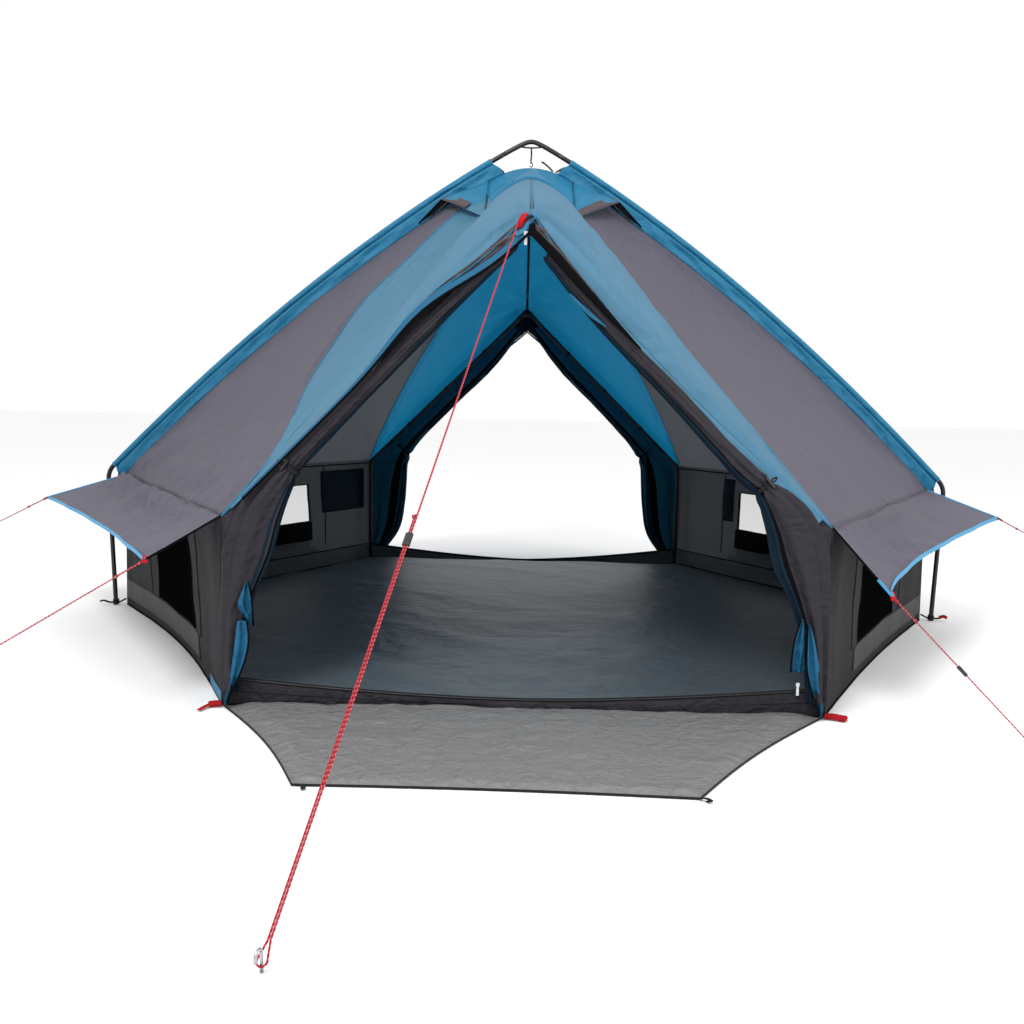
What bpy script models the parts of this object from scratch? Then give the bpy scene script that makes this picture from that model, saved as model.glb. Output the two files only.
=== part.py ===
"""Family tipi tent, pitched, as an assembly of separate named parts.

The plan is a hexagon. Two of its sides, front (-Y) and back (+Y), are open gable doorways.
A tall hoop of steel tube spans the two middle corners on the outside and carries the roof
by a pole sleeve on each ridge; a lower hoop stands inside each doorway.
The origin is on the ground under the crown, +X to the right, +Z up, all lengths in metres.
"""
import math

import bmesh
import bpy
from mathutils import Vector
from mathutils.geometry import tessellate_polygon

# ---- plan and heights of the fabric shell ----
DOOR_HALF = 1.01        # half the width of a door side
MID_HALF = 1.965        # from the middle to the two middle corners
DEPTH_HALF = 1.75       # from the middle to the door sides
EAVE_Z = 0.645
GABLE_Z = 1.64          # top of each doorway arch
CROWN_Z = 2.147         # top of the fabric
SHEET = 0.003           # thickness of every fabric solid
SEAM = 0.004            # how far a panel stays back from its seam line
TOUCH = 0.0003          # gap between pieces that touch

# ---- tubes ----
TUBE_R = 0.011
BORE_R = 0.010
SPIGOT_R = BORE_R - TOUCH
SPIGOT_BORE_R = 0.0085
SPIGOT_LEN = 0.05
SIDES = 10

# ---- the tall middle hoop: z of its centre line at distance x from the middle ----
RIDGE_TOP_Z = 2.285
RIDGE_SLOPE = 0.56
RIDGE_BOW = 0.1137
APEX_ROUND = 0.03
SLEEVE_DROP = 0.0865    # from the tube's centre line down to the roof ridge
HOOP_FOOT_X = 2.02
HOOP_KNEE_X = 2.047
KNEE_R = 0.09
HOOP_JOIN_X = 1.93      # where the leg's spigot enters the rafter
HOOP_STATIONS = [1.86 - 0.265 * k for k in range(7)]
APEX_BEND_HALF = 0.13   # half the width of the bent top tube
SLEEVE_TOP_X = 0.20
SLEEVE_LOW_X = 1.985
SLEEVE_BORE_R = 0.0125
SLEEVE_R = 0.0155

# ---- the two door hoops ----
DOOR_HOOP_Y = 1.68
DOOR_HOOP_X = 0.985
DOOR_HOOP_BELOW = 0.019  # centre line below the canopy edge
DOOR_KNEE_R = 0.08
DOOR_APEX_HALF = 0.11

# ---- crown cap and vents ----
CAP_SHARE = 0.8         # the cap starts this far up the door ridges
CAP_FRONT_Y = 0.58
HOOD_TIP = (0.42, -0.045, 1.985)
HOOD_LIFT = 0.007       # hood edge above the roof at its hinge line
PROP_R = 0.003
PROP_AT = (0.300, 0.190, 0.0425)  # prop pivot: along the hinge line, down the roof, out of it
PROP_REACH = 0.122
PROP_DROP = 0.0345

# ---- door rolls, sills and apron ----
ROLL_Y = 1.748
# a rolled door: along the canopy edge (from the middle, under the edge, radius), then
# hanging from its tie (x, z, half width, how far outside the doorway)
ROLL_ALONG = {
    -1: [(0.05, 0.055, 0.024), (0.22, 0.075, 0.031), (0.45, 0.078, 0.032), (0.70, 0.082, 0.040)],
    1: [(0.05, 0.060, 0.028), (0.25, 0.085, 0.045), (0.50, 0.085, 0.046), (0.72, 0.092, 0.050)],
}
ROLL_HANG = {
    -1: [(0.775, 0.772, 0.042, 0.002), (0.858, 0.655, 0.076, 0.004), (0.903, 0.530, 0.094, 0.010),
         (0.936, 0.400, 0.066, 0.022), (0.960, 0.260, 0.042, 0.036), (0.970, 0.070, 0.031, 0.040)],
    1: [(0.820, 0.680, 0.080, 0.004), (0.868, 0.520, 0.112, 0.020), (0.885, 0.380, 0.116, 0.038),
        (0.905, 0.230, 0.106, 0.042), (0.950, 0.090, 0.062, 0.042)],
}
ROLL_THICK = 0.036      # half the thickness of the hanging part
SILL_END_Z = 0.09
SILL_MID_Z = 0.034
APRON_LEFT = (-0.62, -2.50)
APRON_RIGHT = (0.47, -2.54)
ZIP_TOP = (-0.02, -1.775, 1.575)
ZIP_SILL = (0.915, -1.765, 0.118)

# ---- awnings over the two front windows: left is -1, right is 1 ----
AWNING_HOLLOW = {-1: 0.03, 1: 0.09}
AWNING_NEAR = {-1: (-1.224, -1.869, 0.509), 1: (1.188, -1.848, 0.432)}
AWNING_FAR = {-1: (-2.277, -0.162, 0.543), 1: (2.254, -0.149, 0.529)}

# ---- ropes ----
ROPE_R = 0.0024
THIN_ROPE_R = 0.0022
PEG_R = 0.0035
PEG_HOOK_R = 0.012
PEG_TOP = 0.036
MAIN_LOOP_R = 0.0105
MAIN_STRAND_GAP = 0.0056
MAIN_PEG = (-0.473, -3.454)
MAIN_RING = (-0.046, -1.768, 1.612)
MAIN_SLIDER_AT = 0.572
SLIDER_HALF = 0.019
AWNING_ROPES = {
    # name: the awning's corner, the peg on the ground
    "near_left": (AWNING_NEAR[-1], (-2.006, -2.307)),
    "near_right": (AWNING_NEAR[1], (1.570, -2.062)),
    "far_left": (AWNING_FAR[-1], (-3.100, -1.000)),
    "far_right": (AWNING_FAR[1], (3.050, -0.950)),
}

SLATE = (0.135, 0.125, 0.150)
CHARCOAL = (0.035, 0.035, 0.038)
BLUE = (0.012, 0.135, 0.310)
NAVY = (0.006, 0.018, 0.045)
BLACK = (0.010, 0.010, 0.011)
RED = (0.500, 0.020, 0.035)


# ------------------------------------------------------------------ helpers
def clear_scene():
    for obj in list(bpy.data.objects):
        bpy.data.objects.remove(obj, do_unlink=True)


def material(name, colour, roughness, metallic=0.0):
    mat = bpy.data.materials.new(name)
    mat.use_nodes = True
    shader = mat.node_tree.nodes["Principled BSDF"]
    shader.inputs["Base Color"].default_value = (*colour, 1.0)
    shader.inputs["Roughness"].default_value = roughness
    shader.inputs["Metallic"].default_value = metallic
    return mat


def add_mesh(name, points, faces, mat, origin=(0, 0, 0), smooth=False):
    """One closed body from points and faces, with its origin where it moves about."""
    origin = Vector(origin)
    bm = bmesh.new()
    verts = [bm.verts.new(Vector(p) - origin) for p in points]
    for face in faces:
        bm.faces.new([verts[i] for i in face])
    bmesh.ops.recalc_face_normals(bm, faces=bm.faces)
    mesh = bpy.data.meshes.new(name)
    bm.to_mesh(mesh)
    bm.free()
    mesh.materials.append(mat)
    if smooth:
        mesh.shade_smooth()
        mesh.set_sharp_from_angle(angle=math.radians(40))
    obj = bpy.data.objects.new(name, mesh)
    obj.location = origin
    bpy.context.scene.collection.objects.link(obj)
    return obj


def mirror_x(point):
    return Vector((-point[0], point[1], point[2]))


def lerp(a, b, t):
    return Vector(a) + (Vector(b) - Vector(a)) * t


def plane_normal(outline):
    """Area-weighted normal of a closed outline."""
    total = Vector((0, 0, 0))
    for a, b in zip(outline, outline[1:] + outline[:1]):
        total += Vector(a).cross(Vector(b))
    return total.normalized()


def pull_in(outline, distance):
    """The outline with every edge moved towards the inside by one distance."""
    normal = plane_normal(outline)
    moved = []
    for i, point in enumerate(outline):
        before = (point - outline[i - 1]).normalized()
        after = (outline[(i + 1) % len(outline)] - point).normalized()
        in_a, in_b = normal.cross(before), normal.cross(after)
        moved.append(point + (in_a + in_b) * (distance / (1 + in_a.dot(in_b))))
    return moved


def panel(name, outline, mat, inside=(0, 0, 0.6), back=SEAM, thick=SHEET, origin=(0, 0, 0)):
    """A flat fabric panel: outline is its outer face, and the thickness goes towards inside."""
    outer = pull_in([Vector(p) for p in outline], back)
    normal = plane_normal(outer)
    centre = sum(outer, Vector()) / len(outer)
    if normal.dot(Vector(inside) - centre) < 0:
        normal = -normal
    inner = [p + normal * thick for p in outer]
    count = len(outer)
    tris = tessellate_polygon([outer])
    faces = [tuple(t) for t in tris] + [tuple(i + count for i in reversed(t)) for t in tris]
    faces += [(i, (i + 1) % count, (i + 1) % count + count, i + count) for i in range(count)]
    return add_mesh(name, outer + inner, faces, mat, origin)


def grid_panel(name, surface, across, up, mat, inside, thick=SHEET):
    """A curved fabric panel from surface(row, share across), solid towards the point inside."""
    outer = [[surface(i, j / across) for j in range(across + 1)] for i in range(up + 1)]
    inner = []
    for i in range(up + 1):
        row = []
        for j in range(across + 1):
            along = outer[min(i + 1, up)][j] - outer[max(i - 1, 0)][j]
            side = outer[i][min(j + 1, across)] - outer[i][max(j - 1, 0)]
            normal = along.cross(side).normalized()
            if normal.dot(Vector(inside) - outer[i][j]) < 0:
                normal = -normal
            row.append(outer[i][j] + normal * thick)
        inner.append(row)
    wide = across + 1
    shift = wide * (up + 1)
    points = [p for row in outer for p in row] + [p for row in inner for p in row]
    faces = []
    for i in range(up):
        for j in range(across):
            a, b = i * wide + j, (i + 1) * wide + j
            faces.append((a, a + 1, b + 1, b))
            faces.append((a + shift, b + shift, b + 1 + shift, a + 1 + shift))
    rim = [j for j in range(wide)]
    rim += [i * wide + across for i in range(1, up + 1)]
    rim += [up * wide + j for j in range(across - 1, -1, -1)]
    rim += [i * wide for i in range(up - 1, 0, -1)]
    for a, b in zip(rim, rim[1:] + rim[:1]):
        faces.append((a, b, b + shift, a + shift))
    return add_mesh(name, points, faces, mat)


def along_path(path):
    """Unit tangents of a path of points."""
    last = len(path) - 1
    return [(path[min(i + 1, last)] - path[max(i - 1, 0)]).normalized() for i in range(last + 1)]


def ring(centre, tangent, side, radius_side, radius_up, count=SIDES):
    """Points of an ellipse round centre, square to the tangent."""
    side = (side - tangent * side.dot(tangent)).normalized()
    up = side.cross(tangent)
    return [
        centre
        + side * (radius_side * math.cos(2 * math.pi * k / count))
        + up * (radius_up * math.sin(2 * math.pi * k / count))
        for k in range(count)
    ]


def ring_body(name, rings, mat, closed=False, origin=(0, 0, 0)):
    """Joins rings of equal count; closed joins the last to the first, else the ends are discs."""
    count = len(rings[0])
    points = [p for r in rings for p in r]
    faces = []
    pairs = list(zip(range(len(rings) - 1), range(1, len(rings))))
    if closed:
        pairs.append((len(rings) - 1, 0))
    for a, b in pairs:
        for k in range(count):
            m = (k + 1) % count
            faces.append((a * count + k, a * count + m, b * count + m, b * count + k))
    if not closed:
        faces.append(tuple(range(count - 1, -1, -1)))
        faces.append(tuple((len(rings) - 1) * count + k for k in range(count)))
    return add_mesh(name, points, faces, mat, origin, smooth=True)


def fillet(corner, before, after, radius, steps=5):
    """Arc that rounds the corner between two straight runs."""
    to_before = (Vector(before) - corner).normalized()
    to_after = (Vector(after) - corner).normalized()
    half = math.acos(max(-1.0, min(1.0, to_before.dot(to_after)))) / 2
    centre = corner + (to_before + to_after).normalized() * (radius / math.sin(half))
    start = corner + to_before * (radius / math.tan(half)) - centre
    end = corner + to_after * (radius / math.tan(half)) - centre
    sweep = math.pi - 2 * half
    arc = []
    for i in range(steps + 1):
        t = i / steps
        mix = (start * math.sin(sweep * (1 - t)) + end * math.sin(sweep * t)) / math.sin(sweep)
        arc.append(centre + mix)
    return arc


def tube(name, path, side, mat, spigot_start=False, spigot_end=False, foot=False):
    """Hollow tube along path; a spigot end is the thinner end that pushes into the next tube."""
    path = [Vector(p) for p in path]
    stations = list(path)
    outer_r = [TUBE_R] * len(path)
    inner_r = SPIGOT_BORE_R if spigot_start or spigot_end else BORE_R
    tangents = along_path(path)
    if spigot_end:
        stations += [path[-1], path[-1] + tangents[-1] * SPIGOT_LEN]
        outer_r += [SPIGOT_R, SPIGOT_R]
        tangents += [tangents[-1]] * 2
    if spigot_start:
        stations = [path[0] - tangents[0] * SPIGOT_LEN, path[0]] + stations
        outer_r = [SPIGOT_R, SPIGOT_R] + outer_r
        tangents = [tangents[0]] * 2 + tangents
    outer = [ring(p, t, side, r, r) for p, t, r in zip(stations, tangents, outer_r)]
    bore = list(zip(stations, tangents))
    if foot:
        bore = [(stations[0] + tangents[0] * SPIGOT_BORE_R, tangents[0])] + bore[1:]
    inner = [ring(p, t, side, inner_r, inner_r) for p, t in reversed(bore)]
    return ring_body(name, outer + inner, mat, closed=not foot)


def rod(name, path, radius, side, mat, count=8, origin=(0, 0, 0)):
    path = [Vector(p) for p in path]
    rings = [ring(p, t, side, radius, radius, count) for p, t in zip(path, along_path(path))]
    return ring_body(name, rings, mat, origin=origin)


def section_body(name, path, side, sections, mat, origin=(0, 0, 0)):
    """Sweeps flat sections along a path, one per point of it; each is an outline and its holes.
    A section's x is along side."""
    path = [Vector(p) for p in path]
    points = []
    for centre, tangent, loops in zip(path, along_path(path), sections):
        across = (side - tangent * side.dot(tangent)).normalized()
        up = across.cross(tangent)
        points += [centre + across * x + up * y for loop in loops for x, y in loop]
    loops = sections[0]
    total = sum(len(loop) for loop in loops)
    last = (len(path) - 1) * total
    caps = tessellate_polygon([[Vector((x, y, 0)) for x, y in loop] for loop in loops])
    faces = [tuple(t) for t in caps] + [tuple(i + last for i in reversed(t)) for t in caps]
    first = 0
    for loop in loops:
        for k in range(len(loop)):
            m = (k + 1) % len(loop)
            for step in range(len(path) - 1):
                low, high = step * total + first, (step + 1) * total + first
                faces.append((low + k, low + m, high + m, high + k))
        first += len(loop)
    return add_mesh(name, points, faces, mat, origin)


def circle(x, y, radius, count=SIDES, start=0.0):
    return [
        (x + radius * math.cos(start + 2 * math.pi * k / count),
         y + radius * math.sin(start + 2 * math.pi * k / count))
        for k in range(count)
    ]


def rope(name, points, radius, mat):
    """A rope as a round POLY curve with filled ends."""
    curve = bpy.data.curves.new(name, "CURVE")
    curve.dimensions = "3D"
    curve.bevel_depth = radius
    curve.bevel_resolution = 2
    curve.use_fill_caps = True
    spline = curve.splines.new("POLY")
    spline.points.add(len(points) - 1)
    for spot, point in zip(spline.points, points):
        spot.co = (*point, 1.0)
    curve.materials.append(mat)
    obj = bpy.data.objects.new(name, curve)
    bpy.context.scene.collection.objects.link(obj)
    return obj


# ------------------------------------------------------------------ shapes shared by the parts
def hoop_z(x):
    """Height of the middle hoop's centre line."""
    return RIDGE_TOP_Z - RIDGE_SLOPE * math.hypot(x, APEX_ROUND) - RIDGE_BOW * x * x


def hoop_run(side, low_x, top_x):
    """Centre line of one side of the middle hoop, going up."""
    xs = [low_x] + HOOP_STATIONS + [top_x]
    return [Vector((side * x, 0, hoop_z(x))) for x in xs]


def ridge_z(x):
    """Height of the roof ridge that hangs under the middle hoop."""
    return RIDGE_TOP_Z - SLEEVE_DROP - RIDGE_SLOPE * x - RIDGE_BOW * x * x


def eave_corner(side, end):
    """Eave corner beside a door: side is -1 left or 1 right, end is -1 front or 1 back."""
    return Vector((side * DOOR_HALF, end * DEPTH_HALF, EAVE_Z))


def mid_corner(side):
    return Vector((side * MID_HALF, 0, EAVE_Z))


def crown():
    return Vector((0, 0, CROWN_Z))


def gable(end):
    return Vector((0, end * DEPTH_HALF, GABLE_Z))


def cap_corner(side, end):
    """Where the crown cap's edge meets a door ridge."""
    return lerp(eave_corner(side, end), crown(), CAP_SHARE)


def cap_front(end):
    """Where the crown cap's edge crosses the seam above a door."""
    return lerp(crown(), gable(end), CAP_FRONT_Y / DEPTH_HALF)


def cap_ridge(side):
    """Where the crown cap's edge meets the middle ridge."""
    return Vector((side * SLEEVE_TOP_X, 0, ridge_z(SLEEVE_TOP_X)))


# ------------------------------------------------------------------ frame
def middle_hoop(steel):
    for side, word in ((-1, "left"), (1, "right")):
        turn = Vector((0, side, 0))
        rafter = hoop_run(side, HOOP_JOIN_X, APEX_BEND_HALF)
        join, up = rafter[0], (rafter[1] - rafter[0]).normalized()
        knee = join - up * ((HOOP_KNEE_X - HOOP_JOIN_X) / abs(up.x))
        foot = Vector((side * HOOP_FOOT_X, 0, 0))
        leg = [foot, lerp(foot, knee, 0.5)] + fillet(knee, foot, join, KNEE_R, steps=5) + [join]
        tube(f"mid_leg_{word}", leg, turn, steel, spigot_end=True, foot=True)
        rafter[0] = join + up * TOUCH
        tube(f"mid_rafter_{word}", rafter, turn, steel)
    top, down = rafter[-1], (rafter[-2] - rafter[-1]).normalized()
    half = [Vector((x, 0, hoop_z(x))) for x in (0.03, 0.06, 0.09)]
    half += [top - down * 0.015, top - down * TOUCH]
    bend = [mirror_x(p) for p in reversed(half)] + [Vector((0, 0, hoop_z(0)))] + half
    tube("mid_apex_bend", bend, Vector((0, 1, 0)), steel, spigot_start=True, spigot_end=True)


def door_hoop(word_end, end, steel):
    y = end * DOOR_HOOP_Y
    rise = (GABLE_Z - EAVE_Z) / DOOR_HALF
    drop = DOOR_HOOP_BELOW * math.hypot(1, rise)
    foot_z = SHEET + TOUCH

    def rafter_z(x):
        return EAVE_Z - drop + (DOOR_HALF - x) * rise

    peak = Vector((0, y, rafter_z(0)))
    for side, word in ((-1, "left"), (1, "right")):
        turn = Vector((0, side, 0))
        foot = Vector((side * DOOR_HOOP_X, y, foot_z))
        knee = Vector((side * DOOR_HOOP_X, y, rafter_z(DOOR_HOOP_X)))
        join = lerp(knee, peak, 0.09)
        leg = [foot, lerp(foot, knee, 0.5)] + fillet(knee, foot, peak, DOOR_KNEE_R) + [join]
        tube(f"{word_end}_leg_{word}", leg, turn, steel, spigot_end=True, foot=True)
        top = Vector((side * DOOR_APEX_HALF, y, rafter_z(DOOR_APEX_HALF)))
        start = join + (top - join).normalized() * TOUCH
        tube(f"{word_end}_rafter_{word}", [start, lerp(start, top, 0.5), top], turn, steel)
    left = Vector((-DOOR_APEX_HALF + TOUCH, y, rafter_z(DOOR_APEX_HALF - TOUCH)))
    bend = [left] + fillet(peak, left, mirror_x(left), 0.06, steps=7) + [mirror_x(left)]
    turn = Vector((0, 1, 0))
    tube(f"{word_end}_apex_bend", bend, turn, steel, spigot_start=True, spigot_end=True)


def crown_hanger(webbing):
    """Cord with a hook at its lower end that holds the crown up from the bent top tube."""
    top = hoop_z(0) - TUBE_R - 2 * TOUCH
    low = CROWN_Z + TOUCH
    hook = Vector((0, 0, low + 0.012))
    path = [Vector((0, 0, top)), Vector((0, 0, (top + hook.z) / 2)), hook]
    rings = [ring(p, Vector((0, 0, -1)), Vector((0, 1, 0)), r, r, 8)
             for p, r in zip(path, (0.0022, 0.0022, 0.0022))]
    rings.append(ring(hook, Vector((0, 0, -1)), Vector((0, 1, 0)), 0.007, 0.007, 8))
    rings.append(ring(Vector((0, 0, low)), Vector((0, 0, -1)), Vector((0, 1, 0)), 0.007, 0.007, 8))
    ring_body("crown_hanger", rings, webbing)


# ------------------------------------------------------------------ fabric shell
def groundsheet(mat):
    corners = []
    for side, end in ((-1, -1), (1, -1)):
        corners.append(Vector((side * DOOR_HALF, end * DEPTH_HALF, SHEET)))
    corners.append(Vector((MID_HALF, 0, SHEET)))
    for side, end in ((1, 1), (-1, 1)):
        corners.append(Vector((side * DOOR_HALF, end * DEPTH_HALF, SHEET)))
    corners.append(Vector((-MID_HALF, 0, SHEET)))
    panel("groundsheet", corners, mat, inside=(0, 0, -5), back=SHEET + SEAM)


def door_sill(name, end, mat):
    """Raised threshold of the groundsheet across a doorway, low in its middle."""
    ends = DOOR_HALF - 0.012
    outline = [(-ends, 0), (ends, 0), (ends - 0.02, SILL_END_Z), (0.55, SILL_MID_Z + 0.012),
               (0, SILL_MID_Z), (-0.55, SILL_MID_Z), (-ends + 0.02, SILL_END_Z)]
    points = [Vector((x, end * DEPTH_HALF, z)) for x, z in outline]
    panel(name, points, mat, inside=(0, 0, 0.05), back=0)


def wall(name, side, end, mat):
    corner, middle = eave_corner(side, end), mid_corner(side)
    outline = pull_in([Vector((corner.x, corner.y, 0)), Vector((middle.x, middle.y, 0)),
                       middle, corner], SEAM)
    for point in outline[:2]:
        point.z = 0
    panel(name, outline, mat, inside=(0, 0, 0.3), back=0)


def roof_side(name, side, end, mat):
    """Slate roof panel between a door ridge and the middle ridge."""
    low = eave_corner(side, end)

    rows = [0.003, 0.035] + [0.035 + 0.962 * k / 6 for k in range(1, 7)]

    def surface(row, v):
        up = rows[row]
        door = lerp(low, crown(), CAP_SHARE * up)
        x = MID_HALF + (SLEEVE_TOP_X - MID_HALF) * up
        ridge = Vector((side * x, 0, ridge_z(x) if row else EAVE_Z + 0.005))
        back = SEAM / (ridge - door).length
        return lerp(door, ridge, back + (1 - 2 * back) * v)

    grid_panel(name, surface, 3, len(rows) - 1, mat, inside=(0, 0, 0))


def canopy(name, side, end, mat):
    """Blue panel over one half of a doorway."""
    outline = [eave_corner(side, end), gable(end), cap_front(end), cap_corner(side, end)]
    panel(name, outline, mat, inside=(0, 0, 0))


def crown_cap(mat):
    rim = [cap_ridge(1), cap_corner(1, 1), cap_front(1), cap_corner(-1, 1),
           cap_ridge(-1), cap_corner(-1, -1), cap_front(-1), cap_corner(1, -1)]
    top = crown()
    outer = [lerp(p, top, SEAM / (top - p).length) for p in rim]
    inner = [p - Vector((0, 0, SHEET)) for p in outer]
    points = outer + inner + [top, top - Vector((0, 0, SHEET))]
    count = len(rim)
    faces = []
    for k in range(count):
        m = (k + 1) % count
        faces.append((k, m, 2 * count))
        faces.append((m + count, k + count, 2 * count + 1))
        faces.append((k, k + count, m + count, m))
    add_mesh("crown_cap", points, faces, mat)


def ridge_sleeve(name, side, mat):
    """Sleeve for the middle hoop with the web that joins it to the roof ridge."""
    web = SHEET / 2
    meet = math.asin(web / SLEEVE_R)
    start, around = -math.pi / 2 + meet, 2 * math.pi - 2 * meet
    tunnel = [(SLEEVE_R * math.cos(start + around * k / 12),
               SLEEVE_R * math.sin(start + around * k / 12)) for k in range(13)]
    path = hoop_run(side, SLEEVE_LOW_X, SLEEVE_TOP_X)
    sections = []
    for tangent in along_path(path):
        foot = -SLEEVE_DROP * abs(tangent.x) + 0.004
        sections.append([tunnel + [(-web, foot), (web, foot)], circle(0, 0, SLEEVE_BORE_R)])
    section_body(name, path, Vector((0, side, 0)), sections, mat)


def awning(name, side, near, far, mat):
    """Flap over a side window, stretched out from the eave by two ropes."""
    a, b = eave_corner(side, -1), mid_corner(side)
    middle = lerp(near, far, 0.5)
    sag = (lerp(a, b, 0.5) - middle).normalized() * AWNING_HOLLOW[side]
    outline = [a, b, Vector(far), middle + sag, Vector(near)]
    panel(name, outline, mat, inside=(0, 0, -3))


def apron(mat):
    """Trapezoid mat on the ground in front of the door."""
    edge = -DEPTH_HALF - SEAM
    outline = [Vector((-DOOR_HALF, edge, SHEET)), Vector((*APRON_LEFT, SHEET)),
               Vector((*APRON_RIGHT, SHEET)), Vector((DOOR_HALF, edge, SHEET))]
    panel("apron", outline, mat, inside=(0, -2, -5), back=0)


def door_roll(name, side, end, mat):
    """A door panel rolled up along the canopy edge, tied at the eave and hanging to the sill."""
    rise = (GABLE_Z - EAVE_Z) / DOOR_HALF
    slant = math.hypot(1, rise)
    y = end * ROLL_Y

    def under_edge(x, offset):
        return Vector((side * x, y, EAVE_Z + (DOOR_HALF - x) * rise - offset * slant))

    stops = [(under_edge(x, below), r, r) for x, below, r in ROLL_ALONG[end]]
    for x, z, half, beyond in ROLL_HANG[end]:
        centre = Vector((side * x, end * (DEPTH_HALF + beyond), z))
        stops.append((centre, min(half, ROLL_THICK), half))
    path = [p for p, _, _ in stops]
    rings = [ring(p, t, Vector((0, 1, 0)), thick, half, 12)
             for (p, thick, half), t in zip(stops, along_path(path))]
    ring_body(name, rings, mat)


# ------------------------------------------------------------------ vents
def vent_frame(side):
    """Hinge line of a vent hood, and the unit vectors along it, down the roof and out of it."""
    low, high = cap_corner(side, -1), cap_ridge(side)
    along = (high - low).normalized()
    ridge = Vector((side * 0.49, 0, ridge_z(0.49)))
    out = along.cross(ridge - low).normalized()
    if out.z < 0:
        out = -out
    down = out.cross(along).normalized()
    if down.z > 0:
        down = -down
    return low, high, along, down, out


def vent_hood(name, side, mat):
    """Triangular hood hinged on the seam between the roof panel and the crown cap."""
    low, high, along, down, out = vent_frame(side)
    lift = down * 0.006 + out * HOOD_LIFT
    tip = Vector((side * HOOD_TIP[0], HOOD_TIP[1], HOOD_TIP[2]))
    outline = [low + along * 0.02 + lift, tip, high - along * 0.035 + lift]
    hinge = low + out * HOOD_LIFT + down * 0.003
    panel(name, outline, mat, inside=tip + out, back=0, thick=0.002, origin=hinge)


def vent_prop(name, side, mat):
    """Stiff stay that holds the hood's tip off the roof and folds out from under it."""
    low, _, along, down, out = vent_frame(side)
    pivot = low + along * PROP_AT[0] + down * PROP_AT[1] + out * PROP_AT[2]
    foot = pivot + down * PROP_REACH - out * PROP_DROP
    rod(name, [pivot, lerp(pivot, foot, 0.5), foot], PROP_R, along, mat, origin=pivot)


# ------------------------------------------------------------------ zips
def zip_pull(name, at, mat):
    """Pull tab of a zip, hanging from the slider's bail at its origin and facing the door."""
    at = Vector(at)
    profile = [(-0.006, 0.005), (0.006, 0.005), (0.006, -0.006), (0.003, -0.010),
               (0.0045, -0.018), (0.0045, -0.038), (-0.0045, -0.038), (-0.0045, -0.018),
               (-0.003, -0.010), (-0.006, -0.006)]
    count = len(profile)
    points = [at + Vector((x, depth, z)) for depth in (-0.0025, 0.0025) for x, z in profile]
    caps = tessellate_polygon([[Vector((x, z, 0)) for x, z in profile]])
    faces = [tuple(t) for t in caps] + [tuple(i + count for i in reversed(t)) for t in caps]
    faces += [(k, (k + 1) % count, (k + 1) % count + count, k + count) for k in range(count)]
    add_mesh(name, points, faces, mat, origin=at)


# ------------------------------------------------------------------ ropes, sliders and pegs
def main_line():
    """Start of the front rope, the middle of its turn round the peg, and its unit direction."""
    start = Vector(MAIN_RING)
    peg_side = Vector((*MAIN_PEG, 0.019))
    run = (peg_side - start).normalized()
    reach = (ROPE_R + PEG_R + TOUCH) / math.hypot(run.x, run.y)
    return start, peg_side - run * (MAIN_LOOP_R - reach), run


def main_side():
    """Level unit vector across the front rope."""
    run = main_line()[2]
    return Vector((-run.y, run.x, 0)).normalized()


def main_rope(mat):
    """Down from the gable, round the peg and back up to just above the slider."""
    start, turn_at, run = main_line()
    side = main_side() * (MAIN_STRAND_GAP / 2)
    length = (turn_at - start).length
    down = [start + side + run * (length * k / 20) for k in range(20)]
    turn = []
    for k in range(11):
        angle = math.pi * k / 10
        turn.append(turn_at + main_side() * (MAIN_LOOP_R * math.cos(angle))
                    + run * (MAIN_LOOP_R * math.sin(angle)))
    back = [p - side * 2 for p in reversed(down[11:])]
    back.append(start - side + run * (length * MAIN_SLIDER_AT - 0.075))
    rope("main_rope", down + turn + back, ROPE_R, mat)


def rope_slider(name, centre, run, side, gap, radius, mat):
    """Tensioner block with one bore, long enough for two strands where gap isn't zero."""
    half_width = gap / 2 + radius + 0.004
    half_thick = radius + 0.003
    cut = 0.0022
    outer = [(-half_width + cut, -half_thick), (half_width - cut, -half_thick),
             (half_width, -half_thick + cut), (half_width, half_thick - cut),
             (half_width - cut, half_thick), (-half_width + cut, half_thick),
             (-half_width, half_thick - cut), (-half_width, -half_thick + cut)]
    bore = [(x + math.copysign(gap / 2, x), y) for x, y in circle(0, 0, radius + 0.0008, 10)]
    path = [centre - run * SLIDER_HALF, centre + run * SLIDER_HALF]
    section_body(name, path, side, [[outer, bore], [outer, bore]], mat, origin=centre)


def peg(name, x, y, away, mat):
    """The part of a steel peg above the ground, with its hook turned away from the tent."""
    away = Vector((away[0], away[1], 0)).normalized()
    base = Vector((x, y, 0))
    path = [base, base + Vector((0, 0, PEG_TOP / 2)), base + Vector((0, 0, PEG_TOP))]
    for k in range(1, 7):
        angle = math.pi * k / 6
        path.append(base + away * (PEG_HOOK_R * (1 - math.cos(angle)))
                    + Vector((0, 0, PEG_TOP + PEG_HOOK_R * math.sin(angle))))
    path.append(path[-1] - Vector((0, 0, 0.008)))
    rod(name, path, PEG_R, Vector((-away.y, away.x, 0)), mat)


def awning_line(word):
    """Start, end and unit direction of an awning rope."""
    corner, spot = AWNING_ROPES[word]
    corner, ground = Vector(corner), Vector((*spot, 0.016))
    run = (ground - corner).normalized()
    level = Vector((run.x, run.y, 0)).normalized()
    return corner + run * 0.012, ground - level * (PEG_R + THIN_ROPE_R + 0.001), run


def awning_rope(word, mat):
    start, end, _ = awning_line(word)
    rope(f"{word}_rope", [lerp(start, end, k / 10) for k in range(11)], THIN_ROPE_R, mat)


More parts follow.
